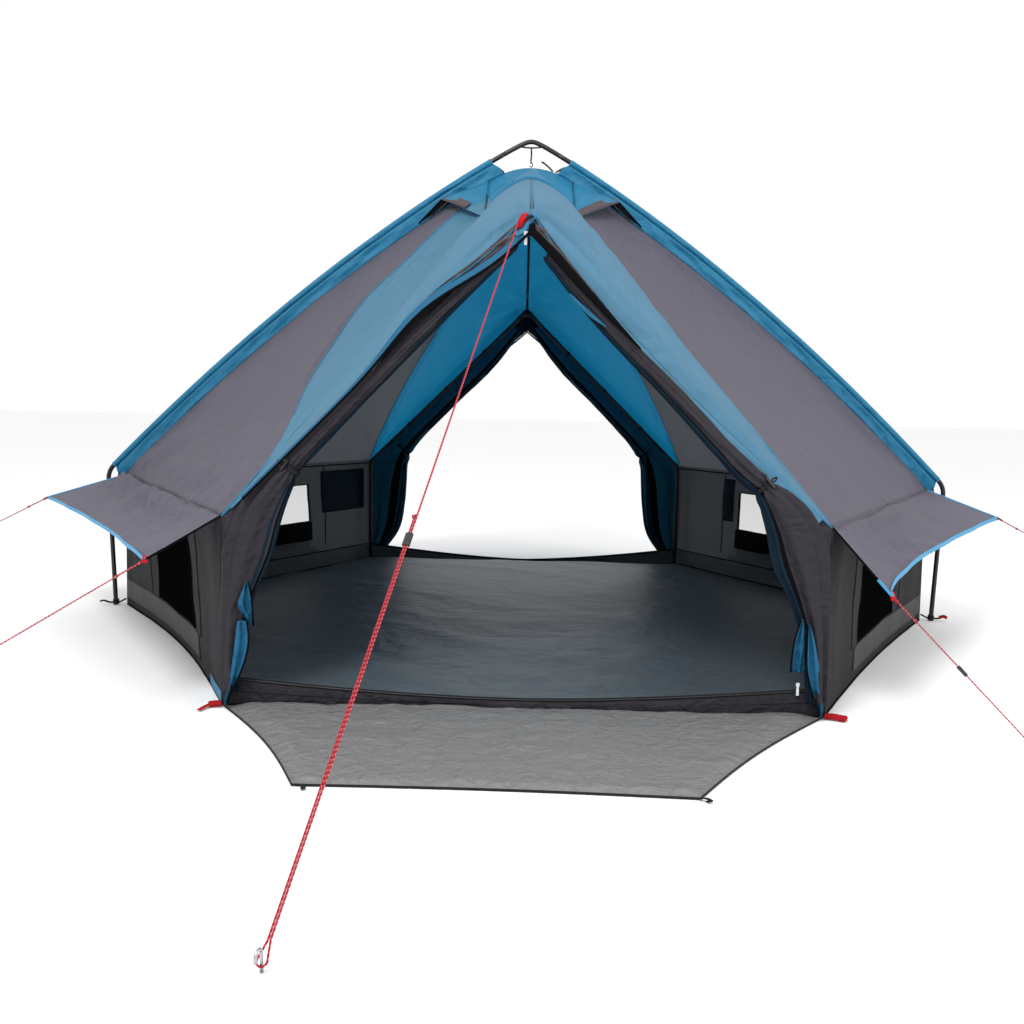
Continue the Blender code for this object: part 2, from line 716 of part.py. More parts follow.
def build():
    clear_scene()
    steel = material("black_tube", BLACK, 0.35, 0.6)
    slate = material("slate_fabric", SLATE, 0.75)
    charcoal = material("charcoal_fabric", CHARCOAL, 0.8)
    blue = material("blue_fabric", BLUE, 0.6)
    navy = material("navy_mesh", NAVY, 0.85)
    floor_mat = material("floor_fabric", (0.060, 0.070, 0.075), 0.55)
    apron_mat = material("apron_fabric", (0.220, 0.225, 0.230), 0.7)
    webbing = material("black_webbing", (0.020, 0.020, 0.021), 0.8)
    plastic = material("black_plastic", (0.015, 0.015, 0.016), 0.45)
    red_rope = material("red_rope", RED, 0.8)
    metal = material("zip_metal", (0.600, 0.600, 0.620), 0.35, 1.0)
    peg_steel = material("peg_steel", (0.450, 0.450, 0.460), 0.4, 1.0)

    middle_hoop(steel)
    door_hoop("front", -1, steel)
    door_hoop("back", 1, steel)
    crown_hanger(webbing)

    groundsheet(floor_mat)
    door_sill("sill_front", -1, charcoal)
    door_sill("sill_back", 1, charcoal)
    for end_word, end in (("front", -1), ("back", 1)):
        for word, side in (("left", -1), ("right", 1)):
            wall(f"wall_{end_word}_{word}", side, end, charcoal)
            roof_side(f"roof_{end_word}_{word}", side, end, slate)
            canopy(f"canopy_{end_word}_{word}", side, end, blue)
            roll_mat = slate if end < 0 else navy
            door_roll(f"door_roll_{end_word}_{word}", side, end, roll_mat)
    crown_cap(blue)
    apron(apron_mat)
    for word, side in (("left", -1), ("right", 1)):
        ridge_sleeve(f"ridge_sleeve_{word}", side, blue)
        awning(f"awning_{word}", side, AWNING_NEAR[side], AWNING_FAR[side], slate)
        vent_hood(f"vent_hood_{word}", side, blue)
        vent_prop(f"vent_prop_{word}", side, plastic)

    zip_pull("zip_pull_top", ZIP_TOP, metal)
    zip_pull("zip_pull_sill", ZIP_SILL, metal)

    main_rope(red_rope)
    start, turn_at, run = main_line()
    at = lerp(start, turn_at, MAIN_SLIDER_AT)
    rope_slider("main_rope_slider", at, run, main_side(), MAIN_STRAND_GAP, ROPE_R, plastic)
    peg("main_peg", *MAIN_PEG, (run.x, run.y), peg_steel)
    for word, (_, spot) in AWNING_ROPES.items():
        awning_rope(word, red_rope)
        low, end, run = awning_line(word)
        peg(f"{word}_peg", *spot, (run.x, run.y), peg_steel)
        if word == "near_right":
            level = Vector((-run.y, run.x, 0)).normalized()
            rope_slider("near_right_rope_slider", lerp(low, end, 0.5), (end - low).normalized(),
                        level, 0, THIN_ROPE_R, plastic)


build()
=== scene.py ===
import math

import bpy
import numpy as np
from mathutils import Matrix, Vector


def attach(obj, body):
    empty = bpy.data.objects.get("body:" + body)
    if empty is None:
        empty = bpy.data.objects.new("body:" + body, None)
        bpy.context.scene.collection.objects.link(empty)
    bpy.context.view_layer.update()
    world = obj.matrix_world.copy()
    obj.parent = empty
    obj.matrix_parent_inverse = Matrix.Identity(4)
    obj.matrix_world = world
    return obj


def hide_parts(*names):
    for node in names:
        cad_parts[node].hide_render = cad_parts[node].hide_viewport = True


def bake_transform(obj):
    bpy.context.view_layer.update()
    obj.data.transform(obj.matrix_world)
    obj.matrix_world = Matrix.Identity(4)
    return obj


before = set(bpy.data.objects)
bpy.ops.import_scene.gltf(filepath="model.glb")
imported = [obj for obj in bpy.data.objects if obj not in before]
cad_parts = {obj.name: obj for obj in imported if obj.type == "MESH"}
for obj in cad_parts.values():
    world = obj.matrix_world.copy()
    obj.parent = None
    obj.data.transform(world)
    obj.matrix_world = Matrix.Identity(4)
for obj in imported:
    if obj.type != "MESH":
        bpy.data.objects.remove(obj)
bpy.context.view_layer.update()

# ---- the tent's size, as in the CAD source, in metres ----
DOOR, MID, DEPTH = 1.01, 1.965, 1.75
EAVE, GABLE, CROWN = 0.645, 1.64, 2.147
HOOP_TOP, HOOP_SLOPE, HOOP_BEND = 2.285, 0.56, 0.1137
SLEEVE_DROP = 0.0865      # from the middle hoop down to the roof ridge
HOOP_FOOT, HOOP_KNEE, RAFTER_END = 2.02, 2.047, 1.93
DOOR_HOOP_Y = 1.68
RIDGE_END = 0.20
CAP_SHARE = 0.8
WALL_RUN = 0.955          # from a door's corner out to the middle corner
PITCH = (GABLE - EAVE) / DOOR
GABLE_UP = (0.7018, 0.7124)   # square to the sloping edge of a doorway, in x and z
TUBE_R = 0.011
CLOTH = 0.0012
ROOM = (0, 0, 0.6)
BODY = "shell"
SIDES = {"left": -1, "right": 1}
ENDS = {"front": -1, "back": 1}


# ------------------------------------------------------------------ numbers
def arr(*values):
    return np.array(values, float)


ALONG, UP = arr(0, 1, 0), arr(0, 0, 1)      # from door to door, and up


def unit(v):
    return v / np.maximum(np.linalg.norm(v, axis=-1, keepdims=True), 1e-12)


def mix(a, b, t):
    """From a to b by the share t, a number or an array of them."""
    a, b = np.asarray(a, float), np.asarray(b, float)
    t = np.asarray(t, float)
    return a + (b - a) * (t[..., None] if t.ndim else t)


def smooth(x):
    x = np.clip(x, 0, 1)
    return x * x * (3 - 2 * x)


def xyz(x, y, z):
    """Points from their three coordinates, any of which may be one number for all."""
    return np.stack(np.broadcast_arrays(x, y, z), -1).astype(float)


def hump(x):
    """Nothing at 0 and at 1, one halfway."""
    return np.sin(np.pi * x)


def grid(rows, cols):
    """Values down and along a grid; a number stands for that many steps from 0 to 1."""
    rows, cols = (np.linspace(0, 1, v) if isinstance(v, int) else v for v in (rows, cols))
    return np.meshgrid(rows, cols, indexing="ij")


def halves(a):
    """Values halfway between neighbours, along every axis of an array."""
    for axis in range(a.ndim):
        n = a.shape[axis]
        a = (a.take(range(1, n), axis) + a.take(range(n - 1), axis)) / 2
    return a


def lattice(i, j, seed):
    """The same number from -1 to 1 each time for a corner of a square grid."""
    h = np.sin(i * 127.1 + j * 311.7 + seed * 74.7) * 43758.5453
    return 2 * (h - np.floor(h)) - 1


def noise(x, y, seed=0):
    """Smooth noise from -1 to 1 with features one unit wide."""
    i, j = np.floor(x), np.floor(y)
    fx, fy = smooth(x - i), smooth(y - j)
    low = lattice(i, j, seed) * (1 - fx) + lattice(i + 1, j, seed) * fx
    high = lattice(i, j + 1, seed) * (1 - fx) + lattice(i + 1, j + 1, seed) * fx
    return low * (1 - fy) + high * fy


def fbm(x, y, seed=0, octaves=3):
    """Noise with ever finer layers, each half as high as the one before."""
    total, size = 0, 1.0
    for k in range(octaves):
        total = total + size * noise(x * 2 ** k, y * 2 ** k, seed + 7 * k)
        size /= 2
    return total


def creased(x, y, seed=0, octaves=3):
    """Noise with sharp ridges, as in crumpled sheeting, from about 0 to 1."""
    total, size = 0, 0.5
    for k in range(octaves):
        total = total + size * (1 - 2 * np.abs(noise(x * 1.9 ** k, y * 1.9 ** k, seed + 5 * k)))
        size /= 2
    return total


def spline(points, count):
    """Catmull-Rom curve through points of any width, count points long."""
    p = np.asarray(points, float)
    p = np.concatenate([2 * p[:1] - p[1:2], p, 2 * p[-1:] - p[-2:-1]])
    t = np.linspace(0, len(p) - 3, count)
    k = np.minimum(t.astype(int), len(p) - 4)
    f = (t - k)[:, None]
    a, b, c, d = p[k], p[k + 1], p[k + 2], p[k + 3]
    return 0.5 * (2 * b + (c - a) * f + (2 * a - 5 * b + 4 * c - d) * f ** 2
                  + (3 * b - a - 3 * c + d) * f ** 3)


def arc(path):
    """Distance along a path at each of its points."""
    return np.concatenate([[0], np.cumsum(np.linalg.norm(np.diff(path, axis=0), axis=1))])


def grid_arcs(P):
    """Distances in metres along the rows and the columns of a grid of points."""
    X, Y = np.zeros(P.shape[:2]), np.zeros(P.shape[:2])
    X[:, 1:] = np.cumsum(np.linalg.norm(np.diff(P, axis=1), axis=2), axis=1)
    Y[1:] = np.cumsum(np.linalg.norm(np.diff(P, axis=0), axis=2), axis=0)
    return X, Y


def grid_normals(P, inside):
    """Normals of a grid of points, turned away from the point inside."""
    n = unit(np.cross(np.gradient(P, axis=1), np.gradient(P, axis=0)))
    if np.sum(n * (P - np.asarray(inside, float))) < 0:
        n = -n
    return n


def push(P, amount, inside=ROOM):
    """Moves a grid of points outwards by amount."""
    return P + grid_normals(P, inside) * np.asarray(amount)[..., None]


def edge_mask(shape, reach, left=True, right=True, low=True, high=True):
    """Zero on the chosen edges of a grid and one inside, over a share reach of its size."""
    v, u = grid(np.linspace(0, 1, shape[0]), np.linspace(0, 1, shape[1]))
    m = np.ones(shape)
    for on, d in ((left, u), (right, 1 - u), (low, v), (high, 1 - v)):
        if on:
            m = m * smooth(d / reach)
    return m


def fan(X, Y, at, count, size, reach, seed=0):
    """Folds that radiate from a point of the cloth and die out with distance."""
    dx, dy = X - at[0], Y - at[1]
    r, angle = np.hypot(dx, dy), np.arctan2(dy, dx)
    waves = np.sin(count * angle + 1.3 * noise(angle * 3, r * 6, seed))
    return size * waves * (r / reach) * np.exp(1 - r / reach)


# ------------------------------------------------------------------ materials
def srgb(r, g, b):
    out = []
    for c in (r / 255, g / 255, b / 255):
        out.append(c / 12.92 if c <= 0.04045 else ((c + 0.055) / 1.055) ** 2.4)
    return tuple(out)


class Nodes:
    """A material's node tree, built a line at a time."""

    def __init__(self, name):
        self.mat = bpy.data.materials.new(name)
        self.mat.use_nodes = True
        self.tree = self.mat.node_tree
        self.shader = self.tree.nodes["Principled BSDF"]
        self.output = self.tree.nodes["Material Output"]

    def add(self, kind, **values):
        node = self.tree.nodes.new("ShaderNode" + kind)
        for key, value in values.items():
            setattr(node, key, value)
        return node

    def link(self, source, target):
        self.tree.links.new(source, target)

    def math(self, operation, a, b=None):
        node = self.add("Math", operation=operation)
        for socket, value in zip(node.inputs, (a, b)):
            if value is None:
                continue
            if isinstance(value, (int, float)):
                socket.default_value = value
            else:
                self.link(value, socket)
        return node.outputs[0]

    def coords(self, kind="Object"):
        texture = self.add("TexCoord")
        mapping = self.add("Mapping")
        self.link(texture.outputs[kind], mapping.inputs["Vector"])
        return mapping.outputs[0]

    def thread(self):
        """The two coordinates of the UV map, in metres."""
        split = self.add("SeparateXYZ")
        self.link(self.coords("UV"), split.inputs[0])
        return split.outputs[0], split.outputs[1]

    def fold(self, *noise_values):
        """Sharp folds where a noise passes its middle."""
        return self.math("ABSOLUTE", self.math("SUBTRACT", self.noise(*noise_values), 0.5))

    def noise(self, vector, scale, detail=3.0, rough=0.5, distortion=0.0):
        node = self.add("TexNoise")
        node.inputs["Scale"].default_value = scale
        node.inputs["Detail"].default_value = detail
        node.inputs["Roughness"].default_value = rough
        node.inputs["Distortion"].default_value = distortion
        self.link(vector, node.inputs["Vector"])
        return node.outputs[0]

    def ramp(self, value, low, high, a, b):
        node = self.add("MapRange")
        for name, v in (("From Min", low), ("From Max", high), ("To Min", a), ("To Max", b)):
            node.inputs[name].default_value = v
        self.link(value, node.inputs["Value"])
        return node.outputs[0]

    def colours(self, factor, a, b):
        node = self.add("Mix", data_type="RGBA")
        self.link(factor, node.inputs["Factor"])
        node.inputs["A"].default_value = (*a, 1)
        node.inputs["B"].default_value = (*b, 1)
        return node.outputs["Result"]

    def bump(self, height, strength, distance, before=None):
        node = self.add("Bump")
        node.inputs["Strength"].default_value = strength
        node.inputs["Distance"].default_value = distance
        self.link(height, node.inputs["Height"])
        if before is not None:
            self.link(before, node.inputs["Normal"])
        return node.outputs[0]

    def base(self, factor, a, b, rough, metal=0.0, specular=0.5):
        """The shader's constants, with a colour that runs from a to b by factor."""
        s = self.shader.inputs
        s["Roughness"].default_value = rough
        s["Metallic"].default_value = metal
        s["Specular IOR Level"].default_value = specular
        self.link(self.colours(factor, a, b), s["Base Color"])

    def patchy(self, factor, colour, vary, rough, metal=0.0, specular=0.5):
        """The same, from a little under colour to a little over it."""
        self.base(factor, tuple(c * (1 - vary) for c in colour),
                  tuple(min(1, c * (1 + vary)) for c in colour), rough, metal, specular)

    def finish(self, normal):
        self.link(normal, self.shader.inputs["Normal"])
        return self.mat


def weave(m, pitch):
    """Height of crossed threads, pitch metres apart."""
    rate = 2 * math.pi / pitch
    a, b = (m.math("SINE", m.math("MULTIPLY", axis, rate)) for axis in m.thread())
    return m.math("MULTIPLY", a, b)


THREAD = 0.0012
VARY = 0.10


def fabric(name, colour, light=0.25, rough=0.6, crumple=0.35, scale=7.0, glow=None,
           specular=0.35):
    """Woven cloth: colour with small changes, thread and crumple bump, and light through it."""
    m = Nodes(name)
    place = m.coords()
    m.patchy(m.noise(place, 2.3, 4, 0.6), colour, VARY, rough, specular=specular)
    normal = m.bump(m.noise(place, scale, 3, 0.45, 0.6), crumple, 0.02)
    normal = m.bump(m.fold(place, scale * 0.7, 2, 0.5, 0.8), crumple * 0.8, 0.035, normal)
    normal = m.bump(weave(m, THREAD), 0.25, THREAD / 4, normal)
    if light:
        through = m.add("BsdfTranslucent")
        through.inputs["Color"].default_value = (*(glow or colour), 1)
        m.link(normal, through.inputs["Normal"])
        both = m.add("MixShader")
        both.inputs[0].default_value = light
        m.link(m.shader.outputs[0], both.inputs[1])
        m.link(through.outputs[0], both.inputs[2])
        m.link(both.outputs[0], m.output.inputs["Surface"])
    return m.finish(normal)


def sheeting(name, colour, rough, crumple, scale, tape=0.003):
    """Woven coated polyethylene: flat tapes, sharp creases and a slight gloss."""
    m = Nodes(name)
    place = m.coords()
    fine = m.noise(place, scale * 3, 5, 0.6, 0.4)
    m.patchy(fine, colour, 0.12, rough)
    normal = m.bump(m.fold(place, scale, 4, 0.55, 0.3), crumple, 0.06)
    normal = m.bump(m.fold(place, scale * 1.7, 3, 0.5, 0.2), crumple * 0.7, 0.04, normal)
    normal = m.bump(fine, crumple * 0.4, 0.006, normal)
    return m.finish(m.bump(weave(m, tape), 0.2, tape / 6, normal))


def paint(name, colour, rough, metal=0.0, grain=400.0):
    """Hard surface with fine grain: coated or bare metal, or moulded plastic."""
    m = Nodes(name)
    place = m.coords()
    blotch = m.noise(place, 14, 3, 0.55)
    m.patchy(blotch, colour, 0.2, rough, metal)
    m.link(m.ramp(blotch, 0.3, 0.7, rough * 0.8, rough * 1.25), m.shader.inputs["Roughness"])
    return m.finish(m.bump(m.noise(place, grain, 2, 0.5), 0.05, 0.0006))


def webbing(name, colour):
    """Flat woven strap with ribs 2.2 mm apart along it."""
    m = Nodes(name)
    across, along = m.thread()
    bend = m.math("SINE", m.math("MULTIPLY", across, 40.0))
    ribs = m.math("SINE", m.math("ADD", m.math("MULTIPLY", along, 2 * math.pi / 0.0022), bend))
    # the colour is darker in the troughs between the ribs: painted shade
    m.base(m.ramp(ribs, -1, 1, 0, 1), tuple(c * 0.6 for c in colour), colour, 0.8, specular=0.25)
    return m.finish(m.bump(ribs, 0.5, 0.0006))


def braid(name, colour, fleck, turns=7.0, pitch=0.012, share=0.35):
    """Round braided cord with a helical fleck: u goes round it and v along it in metres."""
    m = Nodes(name)
    u, v = m.thread()
    u, v = m.math("MULTIPLY", u, 2 * math.pi), m.math("MULTIPLY", v, 2 * math.pi / pitch)

    def crossing(around):
        return (m.math("SINE", m.math(way, around, v)) for way in ("ADD", "SUBTRACT"))

    helix, other = crossing(u)
    both = m.math("ADD", helix, m.math("MULTIPLY", other, 0.45))
    mark = m.ramp(both, 1 - 1.6 * share, 1.0, 0, 1)
    m.base(mark, colour, fleck, 0.7, specular=0.3)
    strands = m.math("MULTIPLY", *crossing(m.math("MULTIPLY", u, turns)))
    return m.finish(m.bump(strands, 0.6, 0.0008))


def mesh_film(name, colour, alpha):
    """Fine netting, as one film that lets some light past."""
    m = Nodes(name)
    m.base(m.noise(m.coords(), 5, 3), tuple(c * 0.8 for c in colour), colour, 0.8, specular=0.2)
    m.shader.inputs["Alpha"].default_value = alpha
    return m.finish(m.bump(weave(m, 0.0015), 0.3, 0.0004))


# The light canopy blue is a painted highlight: the canopy is the same blue cloth as the deep blue
# sleeve and cap, drawn lighter where light falls on it.
LIT_BLUE = (0.110, 0.275, 0.400)
DEEP = (0.0185, 0.195, 0.350)
SLATE = (0.130, 0.119, 0.158)
MAT, SLOT_OF = {}, {}


def material(name, maker, *values, slot=None, **more):
    """Keeps a material and the slot that its pieces go to, its own if none is given."""
    MAT[name], SLOT_OF[name] = maker(name, *values, **more), slot or name


# the canopy cloth, outside, in the light blue with its painted highlight
material("canopy_fabric", fabric, LIT_BLUE, 0.45, 0.5, crumple=0.9, glow=(0.09, 0.46, 0.62))
material("blue_fabric", fabric, DEEP, 0.25, 0.5, crumple=0.9, glow=(0.02, 0.32, 0.60))
material("roof_fabric", fabric, SLATE, 0.36, 0.6, crumple=0.9, glow=(0.40, 0.42, 0.45))
material("wall_fabric", fabric, srgb(37, 37, 39), 0.2, 0.65, crumple=0.5,
         glow=(0.26, 0.27, 0.28), specular=0.12)
material("door_fabric", fabric, srgb(44, 42, 47), 0.05, 0.6, crumple=0.7, scale=16, specular=0.14)
material("navy_mesh", fabric, srgb(12, 32, 46), 0.10, 0.8, crumple=0.5, scale=16, specular=0.15)
material("floor_fabric", sheeting, srgb(74, 83, 88), 0.5, 0.5, 2.6)
material("apron_fabric", sheeting, srgb(114, 113, 112), 0.55, 0.5, 13)
material("tube", paint, (0.006, 0.006, 0.007), 0.4)
material("black_plastic", paint, (0.010, 0.010, 0.011), 0.45, grain=900)
material("zip_metal", paint, (0.62, 0.62, 0.64), 0.3, 1.0)
material("peg_steel", paint, (0.42, 0.42, 0.43), 0.4, 1.0)
material("black_webbing", webbing, (0.012, 0.012, 0.013))
material("red_rope", braid, srgb(160, 8, 26), srgb(205, 130, 138))
# Inner face of the canopy: partly its own tone, partly painted light that stands in for light
# inside the tent.
material("canopy_inside", fabric, (0.060, 0.40, 0.54), 0.65, 0.6, crumple=0.6,
         glow=(0.10, 0.66, 0.95), specular=0.2, slot="canopy_fabric")
material("roof_inside", fabric, (0.14, 0.15, 0.16), 0.6, 0.65, glow=(0.52, 0.56, 0.60),
         specular=0.2, slot="roof_fabric")
# Inner face of the walls, also used for the bathtub edge and the sills: partly its own lighter
# tone, partly painted light inside the tent.
material("wall_inside", fabric, (0.170, 0.178, 0.182), 0.55, 0.65, glow=(0.50, 0.52, 0.53),
         specular=0.2, slot="wall_fabric")
material("navy_fabric", fabric, (0.022, 0.155, 0.245), 0.3, 0.7, crumple=0.6, scale=14,
         glow=(0.02, 0.18, 0.30), specular=0.1, slot="navy_mesh")
material("lining_blue", fabric, (0.012, 0.105, 0.205), 0.1, 0.6, crumple=0.8, scale=14,
         specular=0.2, slot="blue_fabric")
material("wall_band", fabric, srgb(50, 50, 52), 0.0, 0.65, slot="wall_fabric")
material("window_dark", fabric, srgb(8, 8, 8), 0.0, 0.95, specular=0.0, slot="wall_fabric")
material("sky_binding", fabric, (0.045, 0.28, 0.50), 0.0, 0.55, slot="blue_fabric")
material("dark_cloth", fabric, srgb(12, 12, 14), 0.0, 0.9, specular=0.04, slot="wall_fabric")
material("brown_cloth", fabric, srgb(78, 69, 73), 0.1, 0.65, crumple=0.5, scale=20,
         slot="door_fabric")
material("red_webbing", webbing, srgb(178, 12, 24), slot="red_rope")
material("window_mesh", mesh_film, (0.020, 0.020, 0.021), 0.20, slot="navy_mesh")
material("vent_mesh", mesh_film, (0.006, 0.010, 0.014), 0.92, slot="navy_mesh")


# ------------------------------------------------------------------ mesh building
def make(name, points, faces, mats, uvs, index=None, body=BODY, nodes=()):
    """One piece from points and faces, riding on a body."""
    mesh = bpy.data.meshes.new(name)
    mesh.from_pydata(np.asarray(points).tolist(), [], [list(f) for f in faces])
    for mat in mats:
        mesh.materials.append(MAT[mat])
    layer = mesh.uv_layers.new(name="UVMap")
    layer.data.foreach_set("uv", np.asarray(uvs, float).ravel())
    if index is not None:
        mesh.polygons.foreach_set("material_index", np.asarray(index, int).ravel())
    mesh.polygons.foreach_set("use_smooth", np.ones(len(mesh.polygons), bool))
    mesh.update()
    obj = bpy.data.objects.new(name, mesh)
    bpy.context.scene.collection.objects.link(obj)
    if body:
        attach(obj, body)
    if nodes:
        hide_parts(*nodes)
    return obj


def cloth(name, P, mats, inside=ROOM, thick=CLOTH, skip=None, held=None, rests=(), body=BODY,
          nodes=(), index=None):
    """A sheet of cloth from a grid of points on its outer face; mats are outer and inner."""
    rows, cols = P.shape[:2]
    X, Y = grid_arcs(P)
    i, j = grid(np.arange(rows - 1), np.arange(cols - 1))
    quads = np.stack([i * cols + j, i * cols + j + 1, (i + 1) * cols + j + 1, (i + 1) * cols + j],
                     -1).reshape(-1, 4)
    keep = np.ones(len(quads), bool) if skip is None else ~skip.reshape(-1)
    quads = quads[keep]
    flat = P.reshape(-1, 3)
    n = np.cross(flat[quads[:, 1]] - flat[quads[:, 3]], flat[quads[:, 2]] - flat[quads[:, 0]])
    centre = flat[quads].mean(1)
    if np.sum(n * (centre - np.asarray(inside, float))) < 0:
        quads = quads[:, ::-1]
    # drop corners that coincide, so that a pointed end has triangles
    faces, uvs = [], []
    place = np.stack([X, Y], -1).reshape(-1, 2)
    chosen = []
    for k, quad in enumerate(quads):
        kept = []
        for a in quad:
            if not any(np.abs(flat[a] - flat[b]).max() < 1e-7 for b in kept):
                kept.append(a)
        if len(kept) > 2:
            faces.append([int(a) for a in kept])
            uvs.extend(place[kept])
            chosen.append(k)
    picked = None if index is None else index.reshape(-1)[keep][chosen]
    obj = make(name, flat, faces, mats, uvs, picked, body, nodes)
    if len(np.unique(np.round(flat, 6), axis=0)) < len(flat):
        weld = obj.modifiers.new("weld", "WELD")
        weld.merge_threshold = 0.00001
    if thick:
        solid = obj.modifiers.new("thickness", "SOLIDIFY")
        solid.thickness = thick
        solid.offset = -1
        if len(mats) > 1 and index is None:
            solid.material_offset = 1
    return obj


def transport(path):
    """Side vectors carried along a path without twist."""
    T = unit(np.gradient(path, axis=0))
    start = arr(0, 0, 1) if abs(T[0][2]) < 0.9 else arr(1, 0, 0)
    side = [unit(start - T[0] * (start @ T[0]))]
    for k in range(1, len(path)):
        s = side[-1] - T[k] * (side[-1] @ T[k])
        side.append(unit(s))
    return T, np.array(side)


def frames(path, side=None):
    """Directions along, across and square to both at each point of a path."""
    if side is None:
        T, S = transport(path)
    else:
        T = unit(np.gradient(path, axis=0))
        side = np.broadcast_to(np.asarray(side, float), path.shape)
        S = unit(side - T * np.sum(side * T, axis=1, keepdims=True))
    return T, S, np.cross(S, T)


def loft(name, rings, mats, closed=False, index=None, body=BODY, nodes=()):
    """Skin over rings of points, closed at its ends by fans or joined into a loop."""
    n, m = rings.shape[:2]
    along = arc(rings.mean(1))
    if closed:
        along = np.append(along, along[-1] + np.linalg.norm(rings[-1].mean(0) - rings[0].mean(0)))
    points = rings.reshape(-1, 3)
    faces, uvs, mat_index = [], [], []
    for i in range(n if closed else n - 1):
        a, b = i * m, ((i + 1) % n) * m
        for k in range(m):
            q = (k + 1) % m
            faces.append((a + k, a + q, b + q, b + k))
            u0, u1 = k / m, (k + 1) / m
            uvs += [(u0, along[i]), (u1, along[i]), (u1, along[i + 1]), (u0, along[i + 1])]
            mat_index.append(0 if index is None else index[k])
    if not closed:
        for ring_at, order in ((0, -1), (n - 1, 1)):
            centre = len(points)
            points = np.vstack([points, rings[ring_at].mean(0)])
            for k in range(m)[::order]:
                q = (k + order) % m
                faces.append((ring_at * m + k, ring_at * m + q, centre))
                uvs += [(k / m, along[ring_at]), (q / m, along[ring_at]), (0.5, along[ring_at])]
                mat_index.append(0)
    # outside faces have to point away from the middle of the rings
    a, b, c = points[faces[0][0]], points[faces[0][1]], points[faces[0][2]]
    outward = np.dot(np.cross(b - a, c - a), a - rings[0].mean(0))
    if outward < 0:
        sizes = [len(f) for f in faces]
        flipped, at = [], 0
        for size in sizes:
            flipped += uvs[at:at + size][::-1]
            at += size
        faces, uvs = [tuple(reversed(f)) for f in faces], flipped
    return make(name, points, faces, mats, uvs, None if index is None else mat_index, body, nodes)


def section(count, power=1.0):
    """Unit circle, or a rounded rectangle where power is under 1."""
    angle = 2 * np.pi * np.arange(count) / count
    c, s = np.cos(angle), np.sin(angle)
    return np.sign(c) * np.abs(c) ** power, np.sign(s) * np.abs(s) ** power


def rod(name, path, radius, mat, side=None, up_radius=None, count=12, power=1.0, closed=False,
        body=BODY, nodes=()):
    """Round, oval or strap-shaped bar along a path."""
    path = np.asarray(path, float)
    if closed:
        path_frames = frames(np.vstack([path[-1:], path, path[:1]]), side)
        _, S, N = (f[1:-1] for f in path_frames)
    else:
        _, S, N = frames(path, side)
    ra = np.broadcast_to(np.asarray(radius, float), (len(path),))
    rb = ra if up_radius is None else np.broadcast_to(np.asarray(up_radius, float), (len(path),))
    c, s = section(count, power)
    rings = (path[:, None] + S[:, None] * (ra[:, None] * c)[..., None]
             + N[:, None] * (rb[:, None] * s)[..., None])
    return loft(name, rings, [mat], closed=closed, body=body, nodes=nodes)


def ring(centre, a, b, count):
    """Closed ellipse of points from two half axes."""
    t = np.linspace(0, 2 * np.pi, count + 1)[:-1, None]
    return centre + a * np.cos(t) + b * np.sin(t)


def strap(name, path, width, mat, side, thick=0.0016, **more):
    """Flat webbing: side is across it."""
    return rod(name, path, width / 2, mat, side=side, up_radius=thick / 2, count=16, power=0.35,
               **more)


def knot(name, at, along, size, radius):
    """An overhand knot: a small trefoil of cord."""
    t = np.linspace(0, 2 * np.pi, 49)[:-1]
    local = xyz(np.sin(t) + 2 * np.sin(2 * t), np.cos(t) - 2 * np.cos(2 * t),
                -1.3 * np.sin(3 * t)) / 3 * size
    z = unit(np.asarray(along, float))
    x = unit(np.cross(z, arr(0.3, 0.2, 1)))
    y = np.cross(z, x)
    path = np.asarray(at, float) + local[:, :1] * x + local[:, 1:2] * z + local[:, 2:] * y
    return rod(name, path, radius, "red_rope", count=8, closed=True)


# ------------------------------------------------------------------ camera and light
def add_camera():
    right, up = Vector((0.999788, 0.009083, 0.018487)), Vector((-0.019302, 0.099798, 0.994821))
    back = Vector((0.007191, -0.994966, 0.099952))
    data = bpy.data.cameras.new("camera")
    data.sensor_width, data.lens = 36, 38.32
    camera = bpy.data.objects.new("camera", data)
    turn = Matrix((right, up, back)).transposed().to_4x4()
    camera.matrix_world = Matrix.Translation((-0.0216, -5.3305, 1.0346)) @ turn
    bpy.context.scene.collection.objects.link(camera)
    bpy.context.scene.camera = camera


def add_light(name, place, target, size, power):
    data = bpy.data.lights.new(name, "AREA")
    data.shape, data.size, data.energy = "DISK", size, power
    light = bpy.data.objects.new(name, data)
    light.location = place
    light.rotation_euler = (Vector(target) - Vector(place)).to_track_quat("-Z", "Y").to_euler()
    bpy.context.scene.collection.objects.link(light)


def add_studio():
    world = bpy.data.worlds.new("studio")
    world.use_nodes = True
    world.node_tree.nodes["Background"].inputs["Color"].default_value = (1, 1, 1, 1)
    world.node_tree.nodes["Background"].inputs["Strength"].default_value = 1.0
    bpy.context.scene.world = world
    bpy.context.scene.view_settings.view_transform = "Standard"
    add_light("key", (-1.8, -6.5, 6.5), (0, 0, 0.9), 2.6, 420)
    add_light("side", (5.5, -3.5, 4.0), (0, 0, 0.8), 2.5, 110)
    floor = Nodes("studio_floor")
    place = floor.coords("Object")
    floor.base(floor.noise(place, 3, 2), (0.93, 0.93, 0.93), (0.96, 0.96, 0.96), 0.9,
               specular=0.1)
    mesh = bpy.data.meshes.new("studio_floor")
    size = 60
    mesh.from_pydata([(-size, -size, -0.001), (size, -size, -0.001), (size, size, -0.001),
                      (-size, size, -0.001)], [], [(0, 1, 2, 3)])
    mesh.materials.append(floor.mat)
    obj = bpy.data.objects.new("studio_floor", mesh)
    bpy.context.scene.collection.objects.link(obj)


